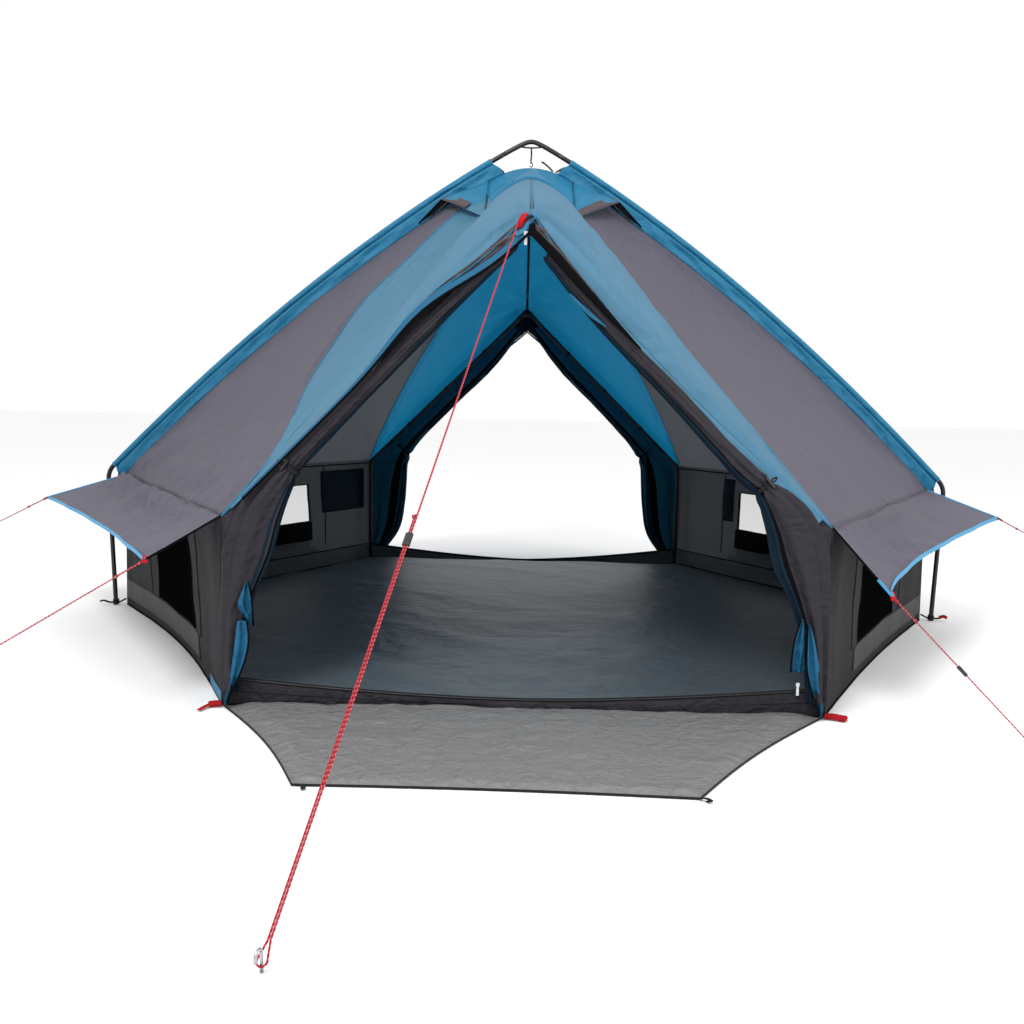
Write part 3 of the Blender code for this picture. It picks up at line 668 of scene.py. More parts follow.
# ------------------------------------------------------------------ guy ropes
ROPE_R, THIN_R, PEG_R, PEG_HOOK_R, PEG_TOP = 0.0024, 0.0022, 0.0035, 0.012, 0.036
MAIN_PEG, MAIN_RING = (-0.473, -3.454), arr(-0.046, -1.768, 1.612)
MAIN_LOOP_R, MAIN_GAP, MAIN_SLIDER_AT = 0.0105, 0.0056, 0.572
AWNING_NEAR = {-1: arr(-1.224, -1.869, 0.509), 1: arr(1.188, -1.848, 0.432)}
AWNING_FAR = {-1: arr(-2.277, -0.162, 0.543), 1: arr(2.254, -0.149, 0.529)}
AWNING_HOLLOW = {-1: 0.025, 1: 0.055}
AWNING_ROPES = {
    "near_left": (AWNING_NEAR[-1], (-2.006, -2.307)),
    "near_right": (AWNING_NEAR[1], (1.570, -2.062)),
    "far_left": (AWNING_FAR[-1], (-3.100, -1.000)),
    "far_right": (AWNING_FAR[1], (3.050, -0.950)),
}


def main_line():
    """Where the main rope starts and turns, and the directions along and across it."""
    peg_side = arr(*MAIN_PEG, 0.019)
    run = unit(peg_side - MAIN_RING)
    reach = (ROPE_R + PEG_R + 0.0003) / math.hypot(run[0], run[1])
    side = unit(arr(-run[1], run[0], 0))
    return MAIN_RING, peg_side - run * (MAIN_LOOP_R - reach), run, side


def peg(name, spot, away):
    """Steel peg with a hooked top that points away from the pull."""
    away = unit(arr(away[0], away[1], 0))
    base = arr(*spot, 0)
    path = [base, base + arr(0, 0, PEG_TOP / 2), base + arr(0, 0, PEG_TOP)]
    for k in range(1, 13):
        angle = math.pi * k / 12
        path.append(base + away * PEG_HOOK_R * (1 - math.cos(angle))
                    + arr(0, 0, PEG_TOP + PEG_HOOK_R * math.sin(angle)))
    path += [path[-1] - UP * 0.004, path[-1] - UP * 0.008]
    return rod(name + "_steel", path, PEG_R, "peg_steel", side=(-away[1], away[0], 0), count=16,
               nodes=[name])


def add_ropes():
    start, turn_at, run, side = main_line()
    length = np.linalg.norm(turn_at - start)
    down = [start + side * MAIN_GAP / 2 + run * length * k / 60 for k in range(60)]
    turn = []
    for k in range(17):
        angle = math.pi * k / 16
        turn.append(turn_at + side * MAIN_LOOP_R * math.cos(angle)
                    + run * MAIN_LOOP_R * math.sin(angle))
    top = length * MAIN_SLIDER_AT - 0.075
    back = [start - side * MAIN_GAP / 2 + run * (length - (length - top) * k / 30)
            for k in range(1, 31)]
    path = np.array(down + turn + back)
    rope = rod("main_rope_cord", path, ROPE_R, "red_rope", count=12, nodes=["main_rope"])
    end_knot = knot("main_rope_end_knot", path[-1], run, 0.005, 0.0022)
    peg("main_peg", MAIN_PEG, run)
    for word, (corner, spot) in AWNING_ROPES.items():
        ground = arr(*spot, 0.016)
        run = unit(ground - corner)
        level = unit(arr(run[0], run[1], 0))
        first, last = corner + run * 0.012, ground - level * (PEG_R + THIN_R + 0.001)
        path = mix(first, last, np.linspace(0, 1, 40))
        rope = rod(f"{word}_rope_cord", path, THIN_R, "red_rope", count=12,
                   nodes=[f"{word}_rope"])
        # the rope is doubled back on itself beside the awning and knotted there
        side = unit(np.cross(run, arr(0, 0, 1)))
        tail = [first + run * d + side * 0.0048 for d in np.linspace(0.004, 0.085, 12)]
        strand = rod(f"{word}_rope_tail", tail, THIN_R * 0.9, "red_rope", count=10)
        spots = (("knot", first + run * 0.088 + side * 0.002), ("top_knot", first + run * 0.006))
        knots = [knot(f"{word}_rope_{tag}", at, run, 0.0058, 0.0024) for tag, at in spots]
        loop = ring(last + run * 0.004 + level * 0.0045, level * -0.0045, side * 0.0065, 24)
        eye = rod(f"{word}_rope_eye", loop, 0.0016, "red_rope", count=8, closed=True)
        peg(f"{word}_peg", spot, run)


add_camera()
add_ropes()
add_studio()


# ------------------------------------------------------------------ shapes of the tent
def hoop_z(x):
    """Height of the middle hoop."""
    return HOOP_TOP - HOOP_SLOPE * np.hypot(x, 0.03) - HOOP_BEND * x * x


def ridge_z(x):
    """Roof ridge under the middle hoop, rounded at the crown."""
    x = np.abs(x)
    slope = HOOP_TOP - SLEEVE_DROP - HOOP_SLOPE * x - HOOP_BEND * x * x
    return np.where(x < RIDGE_END, CROWN - 1.62 * x * x, slope)


def door_ridge(u, side, end):
    """Ridge from a door's eave corner, u 0, to the crown, u 1."""
    return xyz(side * DOOR * (1 - u), end * DEPTH * (1 - u), EAVE + (CROWN - EAVE) * u)


def mid_ridge(t, side):
    """Ridge under the middle hoop, from the eave, t 0, to the crown cap, t 1."""
    x = MID - (MID - RIDGE_END) * t
    z = ridge_z(x) - (ridge_z(MID) - EAVE) * np.clip(1 - t / 0.03, 0, 1)
    return xyz(side * x, 0, z)


def canopy_point(q, s, end):
    """Above a doorway: q is 0 at the gable and 1 at the crown, s is -1 to 1 across."""
    centre, edge = GABLE + (CROWN - GABLE) * q, EAVE + (CROWN - EAVE) * q
    r = 0.03 + 0.57 * smooth(q / 0.75)
    h = (np.sqrt(s * s + r * r) - r) / (np.sqrt(1 + r * r) - r)
    return xyz(s * DOOR * (1 - q), end * DEPTH * (1 - q), centre + (edge - centre) * h)


def cap_edge(s):
    """q where the crown cap begins."""
    return 0.669 + 0.131 * s * s


def roof_point(t, v, side, end):
    """Slate panel: t up the slope, v from the door ridge to the middle ridge."""
    P = mix(door_ridge(CAP_SHARE * t, side, end), mid_ridge(t, side), v)
    sag = 0.026 * 4 * v * (1 - v) * hump(np.clip(t, 0, 1)) ** 0.7
    return P - arr(side * 0.45, end * 0.45, 0.77) * sag[..., None]


def seam_bulge(t, side, end):
    """How far, as a share of the roof panel, the blue canopy reaches past the door ridge."""
    if end > 0:
        return 0.05 * hump(np.clip(t, 0, 1))
    if side > 0:
        return 0.035 * hump(np.clip(t, 0, 1)) + 0.22 * smooth((t - 0.76) / 0.24)
    waver = 0.014 * np.sin(t * 23) * hump(np.clip(t, 0, 1))
    return 0.60 * smooth((t - 0.08) / 0.60) + 0.20 * smooth((t - 0.60) / 0.40) + waver


def valance(s, side, end):
    """Depth of the canopy's edge below the gable line, deepest in its upper third."""
    depth = 0.033 if end > 0 else (0.004 if side < 0 else 0.050)
    return depth * hump(np.clip(np.abs(s), 0, 1) ** 0.757) + 0.002


def gable_lift(s, side, end):
    """Rise of the canopy's edge on the left of the front doorway, where it is drawn up."""
    return 0.037 * np.exp(-((s - 0.34) / 0.15) ** 2) * (side < 0) * (end < 0)


def below_gable(s, side, end, drop, out=0.002):
    """Points below the sloping edge of a doorway, square to it."""
    P = canopy_point(0 * s, side * s, end)
    drop = np.asarray(drop) - gable_lift(s, side, end)
    P = P - arr(side * GABLE_UP[0], 0, GABLE_UP[1]) * drop[..., None]
    P[..., 1] += end * out
    P[..., 0] = side * np.maximum(P[..., 0] * side, 0)
    return P


def seam(name, path, mat, radius=0.0022, side=None, flat=1.0, **more):
    """Thin cord, piping or flat seam along a path."""
    return rod(name, path, radius, mat, side=side, up_radius=radius * flat, count=8, **more)


def add_canopy(word_end, end, word, side):
    cols, rows = 60, 90
    bulge_cols = 34 if (side < 0 and end < 0) else 8
    s = np.concatenate([np.linspace(0, 1, cols), np.ones(bulge_cols)])
    b = np.concatenate([np.zeros(cols), np.linspace(0, 1, bulge_cols + 1)[1:]])
    K, S = grid(rows, s)
    B = np.broadcast_to(b, K.shape)
    P = canopy_point(K * cap_edge(S), side * S, end)
    over = roof_point(K, B * seam_bulge(K, side, end), side, end)
    P = np.where((B > 0)[..., None], over, P)
    X, Y = grid_arcs(P)
    lift = gable_lift(S, side, end) * np.exp(-Y / 0.28) * (B <= 0)
    P = P + arr(side * GABLE_UP[0], 0, GABLE_UP[1]) * lift[..., None]
    mask = edge_mask(P.shape[:2], 0.05)
    d = 0.006 * fbm(X * 1.6 + 5 * side, Y * 1.7, 3 + end) + 0.003 * fbm(X * 7, Y * 4, 11)
    d = d + 0.0030 * creased(X * 9 + Y * 3, Y * 11 - X * 4, 12, 2)
    d = d + 0.0042 * noise(X * 15 + 2 * noise(X * 2, Y * 2, 7), Y * 2.2, 13) * smooth(Y / 0.3)
    reach = np.hypot(P[..., 0], P[..., 1] - end * DEPTH)
    angle = np.arctan2(P[..., 0] * side, DEPTH - np.abs(P[..., 1]) + 1e-6)
    rays = np.sin(angle * 19 + 1.5 * noise(angle * 4, reach * 5, 4))
    puckers = 0.013 * rays * (reach / 0.16) * np.exp(1 - reach / 0.16) * np.exp(-Y / 0.9)
    cross = 0.0035 * np.sin(Y * 46 + 4 * noise(X * 3, Y * 5, 9)) * np.exp(-(X.max() - X) / 0.10)
    P = push(P, (d + cross) * mask + puckers * edge_mask(P.shape[:2], 0.04, left=False,
                                                         low=False))
    # the edge is turned down over the doorway
    shares = np.clip(S[0], 0, 1)
    lips = []
    for f in np.linspace(1, 0, 6)[:-1]:
        lip = below_gable(shares, side, end, valance(shares, side, end) * f, 0.003 * f)
        lips.append(lip + P[0] - below_gable(shares, side, end, 0 * shares, 0))
    P = np.concatenate([np.array(lips), P])
    name = f"canopy_{word_end}_{word}"
    cloth(name + "_cloth", P, ["canopy_fabric", "canopy_inside"], nodes=[name],
          held="stretched", rests=[f"{word_end}_rafter_{word}"])
    edge = P[0, :cols]
    seam(name + "_edge_piping", edge + arr(0, end * 0.001, 0), "blue_fabric", 0.0032,
         side=ALONG)
    seam(name + "_ridge_seam", P[6:, -1] + UP * 0.0012, "canopy_fabric", 0.0034,
         side=UP, flat=0.6)
    ridge = P[6:, cols - 1] + UP * 0.0008
    seam(name + "_hoop_seam", ridge, "canopy_fabric", 0.0022, side=UP, flat=0.6)


def add_roof(word_end, end, word, side):
    rows, cols = 84, 96
    t = np.concatenate([np.linspace(0, 0.03, 4), np.linspace(0.03, 1, rows)[1:]])
    T, V = grid(t, cols)
    first = seam_bulge(T, side, end)
    V = first + (1 - first) * V
    P = roof_point(T, V, side, end)
    X, Y = grid_arcs(P)
    d = 0.010 * fbm(X * 1.1 + 3, Y * 1.4 + 7 * side, 21 + end) + 0.003 * fbm(X * 5, Y * 5, 23)
    d = d + 0.0016 * creased(X * 8 + Y * 5, Y * 9 - X * 6, 24, 2)
    if side < 0:
        # many small folds above the left awning
        low = np.exp(-Y / 0.20) * (0.35 + 0.65 * smooth(X / 0.5))
        d = d + 0.040 * low * creased(X * 7 + Y * 4, Y * 8 - X * 3, 31, 3)
        d = d + fan(X, Y, (X[0].max() - 0.25, 0), 11, 0.007, 0.22, 33)
    else:
        d = d + 0.004 * np.sin(X * 19 + 3 * noise(X * 2, Y * 2, 5)) * np.exp(-Y / 0.35)
    d = d + fan(X, Y, (0, 0), 8, 0.005, 0.25, 35) + fan(X, Y, (X[0].max(), 0), 8, 0.005, 0.2, 37)
    d = d + 0.005 * np.sin(X * 11 + 2.5 * noise(X * 1.5, Y * 0.8, 8)) * smooth(Y / 0.8)
    P = push(P, d * edge_mask(P.shape[:2], 0.05))
    name = f"roof_{word_end}_{word}"
    cloth(name + "_cloth", P, ["roof_fabric", "roof_inside"], nodes=[name], held="stretched",
          rests=[f"mid_rafter_{word}"])


def add_cap():
    """Crown cap: one grid for each half, from the middle ridge over the canopy and back."""
    rows, cols, mid = 30, 18, 44
    for word_end, end in ENDS.items():
        k = np.linspace(0, 1, rows)
        parts = []
        for side in (-1, 1):
            tau, v = grid(k, cols)
            ridge_x = RIDGE_END * (1 - tau)
            top = xyz(side * ridge_x, 0, ridge_z(ridge_x))
            parts.append(mix(door_ridge(CAP_SHARE + (1 - CAP_SHARE) * tau, side, end), top, v))
        K, S = grid(k, np.linspace(-1, 1, 2 * mid + 1))
        Q = cap_edge(S)
        centre = canopy_point(Q + (1 - Q) * K, S, end)
        P = np.concatenate([parts[0][:, ::-1][:, :-1], centre, parts[1][:, 1:]], axis=1)
        # the canopy's lighter blue, its painted highlight, reaches into the cap by the left hood
        place = np.linspace(-1 - cols / mid, 1 + cols / mid, P.shape[1])
        painted_lit_to = np.where(place < 0, 0.05 + 0.20 * np.clip(-place, 0, 1) ** 2, -1)
        painted_lit_to = np.where(place < -1, 0.25 * (1 + (place + 1) / 0.26), painted_lit_to)
        if end > 0:
            painted_lit_to = painted_lit_to * 0 - 1
        row = np.linspace(0, 1, P.shape[0])
        painted_lit = halves(row)[:, None] < halves(painted_lit_to)[None]
        reach = np.hypot(P[..., 0], P[..., 1])
        angle = np.arctan2(P[..., 0], -end * P[..., 1] + 1e-9)
        folds = 0.008 * np.sin(angle * 13 + 2.5 * noise(angle * 2, reach * 4, 6)) \
            * smooth(reach / 0.25)
        d = folds + 0.006 * fbm(P[..., 0] * 5, P[..., 1] * 7, 41)
        P = push(P, d * edge_mask(P.shape[:2], 0.10, high=False))
        name = f"crown_cap_{word_end}"
        cloth(name, P, ["blue_fabric", "canopy_fabric"], index=painted_lit.astype(int),
              held="stretched", rests=["mid_apex_bend"], nodes=["crown_cap"])
        # the seam runs along the cap's lower edge and, by the left hood, along the edge of the
        # painted highlight
        edge = []
        for j in range(P.shape[1]):
            at = max(painted_lit_to[j], 0) * (P.shape[0] - 1)
            low = int(at)
            edge.append(mix(P[low, j], P[min(low + 1, P.shape[0] - 1), j], np.array(at - low)))
        edge = np.array(edge)
        for tag, lift, r in (("seam", 0.0025, 0.0042), ("seam_upper", 0.002, 0.003)):
            line = edge + arr(0, 0, lift)
            if tag == "seam_upper":
                line = (line + arr(0, -end * 0.022, 0.012))[cols + 4:-cols - 4]
            seam(f"{name}_{tag}", spline(line[::3], 140), "blue_fabric", r, side=UP,
                 flat=0.6)


def add_sleeve(word, side):
    """Sleeve round the middle hoop, hung on a web from the roof ridge, slanted at both ends."""
    rows = 150
    web, tunnel = 0.0016, 0.0142
    up = np.linspace(1.0, 0.0, 10)[:-1]
    around = np.linspace(-np.pi / 2 + 0.12, 1.5 * np.pi - 0.12, 25)
    profile = [(web, -f) for f in up]
    profile += [(tunnel * math.cos(a), tunnel * math.sin(a)) for a in around]
    profile += [(-web, -f) for f in up[::-1]]
    skin = np.zeros((rows, len(profile), 3))
    f = np.linspace(0, 1, rows)
    for j, (across, rise) in enumerate(profile):
        on_web = j < len(up) or j >= len(up) + len(around)
        depth = -rise if on_web else 0.0
        low, high = 2.014 - 0.030 * depth, 0.190 - 0.066 * depth
        x = low + (high - low) * f
        slope = -HOOP_SLOPE * x / np.hypot(x, 0.03) - 2 * HOOP_BEND * x
        tangent = unit(xyz(1, 0, slope))
        upward = xyz(-tangent[:, 2], 0, tangent[:, 0])
        centre = xyz(x, 0, hoop_z(x))
        if on_web:
            # near its lower end the web reaches a little into the roof
            sunk = 0.001 + 0.012 * smooth((x - 1.6) / 0.35)
            bottom = xyz(x, 0, ridge_z(x) - sunk)
            swell = 0.0105 * (1 - depth) ** 2.2
            ruck = 0.006 * noise(x * 13, 0 * x + depth * 2, 51) * math.sin(math.pi * depth)
            P = mix(centre - upward * 0.0135, bottom, np.full(rows, depth))
            P[:, 1] += across + ruck + math.copysign(swell, across)
        else:
            loose = 1 + 0.09 * noise(x * 18, 0 * x + j * 0.25, 53) * (rise < 0.008)
            P = centre + upward * (rise * loose)[:, None]
            P[:, 1] += across * loose
        P[:, 0] *= side
        skin[:, j] = P
    name = f"ridge_sleeve_{word}"
    middle = (side * 1.1, 0, float(hoop_z(1.1)))
    cloth(name + "_cloth", skin, ["blue_fabric"], inside=middle, thick=0.0007, nodes=[name],
          held="stretched", rests=[f"mid_rafter_{word}"])
    for tag, row in (("low", 0), ("top", -1)):
        seam(f"{name}_{tag}_hem", skin[row, 2:-2], "sky_binding", 0.0022)
    # elastic from the sleeve's lower end round the leg
    t = np.linspace(0, 1, 24)
    for k, y in enumerate((-0.012, 0.012)):
        a, b = arr(side * 1.992, y * 0.4, 0.665), arr(side * 2.040, y, 0.560)
        path = mix(a, b, t)
        path[:, 0] -= side * 0.014 * hump(t)
        path[:, 1] += y * 0.6 * hump(t)
        seam(f"{name}_elastic_{k}", path, "black_webbing", 0.0032)


# ------------------------------------------------------------------ walls and windows
WIN_S, WIN_Z, PANEL_LOW = (0.31, 0.67), (0.30, 0.52), 0.145


def foot_bow(side, end):
    """How far the foot of a wall is drawn in between its corners."""
    if end > 0:
        return 0.020
    return 0.060 if side < 0 else 0.026


def wall_point(s, z, side, end, out=0.0):
    """Wall from the door's corner, s 0, to the middle corner, s 1, at height z."""
    n = unit(arr(side * DEPTH, end * WALL_RUN, 0))
    P = xyz(side * (DOOR + WALL_RUN * s), end * DEPTH * (1 - s), z)
    span = hump(np.clip(s, 0, 1))
    height = np.clip(z / EAVE, 0, 1)
    sag = -0.016 * span * hump(height) - foot_bow(side, end) * span * (1 - height) ** 1.3
    wave = np.sin(s * 29 + 2.5 * noise(s * 5, z * 3, 60))
    sag = sag + 0.007 * wave * hump(height) ** 0.5 * (0.25 + 0.75 * height)
    sag = sag + 0.009 * fbm(s * 5 + side, z * 4 + end, 61) * span * hump(height)
    return P + n * (sag + out)[..., None]


def wall_patch(name, s0, s1, z0, z1, side, end, mats, out, bulge=0.0, cells=(24, 16), **more):
    """A flat piece sewn on a wall, swelling by bulge in its middle."""
    Z, S = grid(np.linspace(z0, z1, cells[1]), np.linspace(s0, s1, cells[0]))
    a, b = (S - s0) / (s1 - s0), (Z - z0) / (z1 - z0)
    swell = out + bulge * hump(a) ** 0.6 * hump(b) ** 0.6
    return cloth(name, wall_point(S, Z, side, end, swell), mats, **more)


def wall_line(pairs, side, end, out):
    """Points 2 cm apart on a wall, along straight runs between pairs of share and height."""
    points = []
    for (s0, z0), (s1, z1) in zip(pairs, pairs[1:]):
        length = math.hypot((s1 - s0) * 1.99, z1 - z0)
        n = max(2, int(length / 0.02))
        for k in range(n):
            points.append((s0 + (s1 - s0) * k / n, z0 + (z1 - z0) * k / n))
    points.append(pairs[-1])
    p = np.array(points)
    return wall_point(p[:, 0], p[:, 1], side, end, np.full(len(p), out))


def add_wall(word_end, end, word, side):
    name = f"wall_{word_end}_{word}"
    s = np.concatenate([np.linspace(0, WIN_S[0], 26), np.linspace(*WIN_S, 30)[1:],
                        np.linspace(WIN_S[1], 1, 26)[1:]])
    z = np.concatenate([np.linspace(0.001, WIN_Z[0], 26), np.linspace(*WIN_Z, 18)[1:],
                        np.linspace(WIN_Z[1], EAVE, 12)[1:]])
    Z, S = grid(z, s)
    mid_s, mid_z = halves(S), halves(Z)
    skip = ((mid_s > WIN_S[0]) & (mid_s < WIN_S[1]) & (mid_z > WIN_Z[0]) & (mid_z < WIN_Z[1]))
    cloth(name + "_cloth", wall_point(S, Z, side, end), ["wall_fabric", "wall_inside"], skip=skip,
          nodes=[name], held="stretched", rests=["groundsheet"])
    pad = 0.004
    wall_patch(name + "_window", WIN_S[0] - pad, WIN_S[1] + pad, WIN_Z[0] - pad, WIN_Z[1] + pad,
               side, end, ["window_mesh"], 0.0012, thick=0.0005, held="stretched", rests=[name])
    # the pocket below the window, inside, and the dark panel over it, outside
    wall_patch(name + "_pocket", WIN_S[0] - 0.01, WIN_S[1] + 0.05, 0.185, WIN_Z[0] - 0.004,
               side, end, ["dark_cloth"], -0.004, -0.020, held="hung", rests=[name])
    wall_patch(name + "_window_panel", WIN_S[0], WIN_S[1], PANEL_LOW, WIN_Z[0], side, end,
               ["window_dark"], 0.0022, held="stretched", rests=[name])
    if end < 0:
        # outside, the rolled-down cover hangs over the mesh of a front window
        wall_patch(name + "_window_cover", WIN_S[0], WIN_S[1], WIN_Z[0], WIN_Z[1] + 0.06, side,
                   end, ["window_dark"], 0.0024, 0.004, held="hung", rests=[name])
    for tag, low, out, r, flat in (("binding", PANEL_LOW, 0.003, 0.004, 0.5),
                                   ("frame", WIN_Z[0], -0.0035, 0.006, 0.4)):
        outline = [(WIN_S[0], low), (WIN_S[1], low), (WIN_S[1], WIN_Z[1]), (WIN_S[0], WIN_Z[1]),
                   (WIN_S[0], low)]
        seam(f"{name}_window_{tag}", wall_line(outline, side, end, out), "dark_cloth", r,
             side=(side, end, 0), flat=flat)
    # hem patch outside near the ground, the bathtub edge inside, and the sewn lines
    wall_patch(name + "_lower_band", 0.27, 0.985, 0.040, 0.135, side, end, ["wall_band"], 0.0030,
               held="stretched", rests=[name], cells=(50, 8))
    wall_patch(name + "_tub", 0.004, 0.996, 0.004, 0.102, side, end, ["wall_inside"], -0.0045,
               held="stretched", rests=["groundsheet"], cells=(60, 8))
    for tag, zz, out, r, mat in (
            ("tub_piping", 0.103, -0.0065, 0.003, "dark_cloth"),
            ("foot_piping", 0.006, -0.007, 0.003, "dark_cloth"),
            ("eave_piping", 0.628, -0.004, 0.004, "navy_mesh"),
            ("ground_edge", 0.005, 0.001, 0.0042, "dark_cloth")):
        seam(f"{name}_{tag}", wall_line([(0.006, zz), (0.994, zz)], side, end, out), mat,
             r, side=UP, flat=0.8)
    for k, ss in enumerate((0.235, 0.745)):
        for tag, out in (("out", 0.0014), ("in", -0.0026)):
            seam(f"{name}_upright_{k}_{tag}", wall_line([(ss, 0.14), (ss, 0.622)], side, end, out),
                 "wall_fabric", 0.0026, side=(side, end, 0), flat=1.4)
    if end > 0:
        # dark mesh pockets beside the back windows, inside
        low, high = (0.03, 0.25) if side < 0 else (0.235, 0.285)
        wall_patch(name + "_side_pocket", low, high, 0.34, 0.595, side, end, ["navy_mesh"],
                   -0.004, -0.012, held="hung", rests=[name])
    if end < 0 and side < 0:
        wall_patch(name + "_corner_strip", 0.004, 0.14, 0.008, 0.045, side, end, ["blue_fabric"],
                   0.0034, held="stretched", rests=[name], cells=(14, 8))
    corner = xyz(side * (DOOR + 0.001), end * (DEPTH + 0.002), np.linspace(0.004, 0.63, 20))
    seam(name + "_corner_seam", corner, "wall_fabric", 0.004)


# ------------------------------------------------------------------ ground pieces
def add_groundsheet():
    rows, cols = 130, 130
    y = np.linspace(-DEPTH + 0.004, DEPTH - 0.004, rows)
    Yv, U = grid(y, np.linspace(-1, 1, cols))
    span = hump(np.clip(1 - np.abs(Yv) / DEPTH, 0, 1))
    bow = np.where(Yv > 0, foot_bow(1, 1), np.where(U < 0, foot_bow(-1, -1), foot_bow(1, -1)))
    half = MID - WALL_RUN * np.abs(Yv) / DEPTH - 0.008 - bow * span * 1.13
    Xv = U * half
    edge = edge_mask(Xv.shape, 0.03)
    crumple = 0.5 + 0.5 * creased(Xv * 2.3 + 0.4 * Yv, Yv * 1.8, 71, 4)
    soft = 0.5 + 0.5 * fbm(Xv * 1.3, Yv * 1.1, 72)
    folds = np.clip(np.sin(Xv * 5 + Yv * 7 + 2 * noise(Xv, Yv, 75)), 0, 1) ** 4
    z = 0.0035 + edge * (0.013 * np.clip(crumple, 0, 1.2) + 0.009 * np.clip(soft, 0, 1)
                         + 0.005 * folds)
    P = xyz(Xv, Yv, z)
    cloth("groundsheet_cloth", P, ["floor_fabric"], inside=(0, 0, -5), nodes=["groundsheet"],
          held="laid", rests=[], thick=0.0008)


def sill_top(x, end):
    """Height of the threshold, lowest in its middle."""
    return 0.040 + 0.056 * (np.abs(x) / 0.985) ** 1.7 if end < 0 else \
        0.010 + 0.085 * (np.abs(x) / 0.985) ** 1.5


def add_sill(word_end, end):
    name = f"sill_{word_end}"
    K, Xv = grid(10, np.linspace(-0.995, 0.995, 140))
    top = sill_top(Xv, end)
    z = 0.002 + (top - 0.002) * K
    y = end * (DEPTH + 0.004 * hump(K) + 0.003 * fbm(Xv * 4, K * 2, 81) * (1 - K * 0.5))
    P = xyz(Xv, y, z)
    cloth(name + "_cloth", P, ["door_fabric", "wall_inside"], nodes=[name], held="stretched",
          rests=["groundsheet"])
    x = np.linspace(-0.985, 0.985, 120)
    y = end * (DEPTH + 0.003 * fbm(x * 4, 0 * x + 2, 81) * 0.5)
    line = xyz(x, y, sill_top(x, end) + 0.001)
    strap(name + "_zip_tape", line, 0.013, "black_webbing", (0, 0.2, 1), 0.002)
    seam(name + "_zip_coil", line + arr(0, end * 0.002, 0), "black_plastic", 0.0026)
    ground = xyz(x, end * (DEPTH + 0.006), 0.0045)
    seam(name + "_ground_piping", ground, "dark_cloth", 0.0042)
    hem = xyz(x, y + end * 0.0035, 0.55 * sill_top(x, end))
    seam(name + "_stitch", hem, "dark_cloth", 0.0008)


def add_apron():
    near = [arr(-DOOR + 0.006, -DEPTH - 0.008, 0), arr(DOOR - 0.006, -DEPTH - 0.008, 0)]
    far = [arr(-0.62, -2.50, 0), arr(0.47, -2.54, 0)]
    K, U = grid(80, 150)
    P = mix(mix(near[0], near[1], U), mix(far[0], far[1], U), K)
    P[..., 1] += 0.014 * hump(U) * K
    # both slanting edges are cut a little hollow
    P[..., 0] += 0.030 * hump(K) * (0.5 - U) * 2 * np.abs(2 * U - 1)
    c = np.clip(0.5 + 0.5 * creased(P[..., 0] * 8, P[..., 1] * 9, 91, 4), 0, 1)
    soft = np.clip(0.5 + 0.5 * fbm(P[..., 0] * 2, P[..., 1] * 2, 92), 0, 1)
    mask = edge_mask(P.shape[:2], 0.05, low=False)
    P[..., 2] = 0.0035 + mask * (0.014 * c + 0.009 * soft)
    cloth("apron_cloth", P, ["apron_fabric"], inside=(0, -2, -5), nodes=["apron"], held="laid",
          rests=[], thick=0.0008)
    rim = np.concatenate([P[:, 0], P[-1, 1:-1], P[::-1, -1]])
    seam("apron_binding", rim + UP * 0.0006, "black_webbing", 0.0034, side=UP,
         flat=0.7)
    for tag, corner, away in (("left", P[-1, 4], arr(0.25, -1, 0)),
                              ("right", P[-1, -1], arr(0.6, -0.6, 0))):
        away = unit(away)
        path = [corner, corner + away * 0.018 + UP * 0.006, corner + away * 0.036
                + UP * 0.003, corner + away * 0.020 - UP * 0.001]
        strap(f"apron_loop_{tag}", spline(path, 30), 0.013, "black_webbing",
              (-away[1], away[0], 0), thick=0.0024)


# ------------------------------------------------------------------ awnings
def awning_outer(w, side):
    """Free edge of an awning, from its near corner, w 0, to its far one, w 1."""
    straight = mix(AWNING_NEAR[side], AWNING_FAR[side], w)
    eave_mid = arr(side * (DOOR + MID) / 2, -DEPTH / 2, EAVE)
    inward = unit(eave_mid - (AWNING_NEAR[side] + AWNING_FAR[side]) / 2)
    hollow = AWNING_HOLLOW[side]
    lean = 0.62 if side > 0 else 1.0
    shape = hump(w ** lean) ** (0.8 if side > 0 else 1)
    waver = 0.005 * noise(w * 12, 0 * w, 101) * hump(w)
    return straight + inward * (hollow * shape + waver)[..., None]


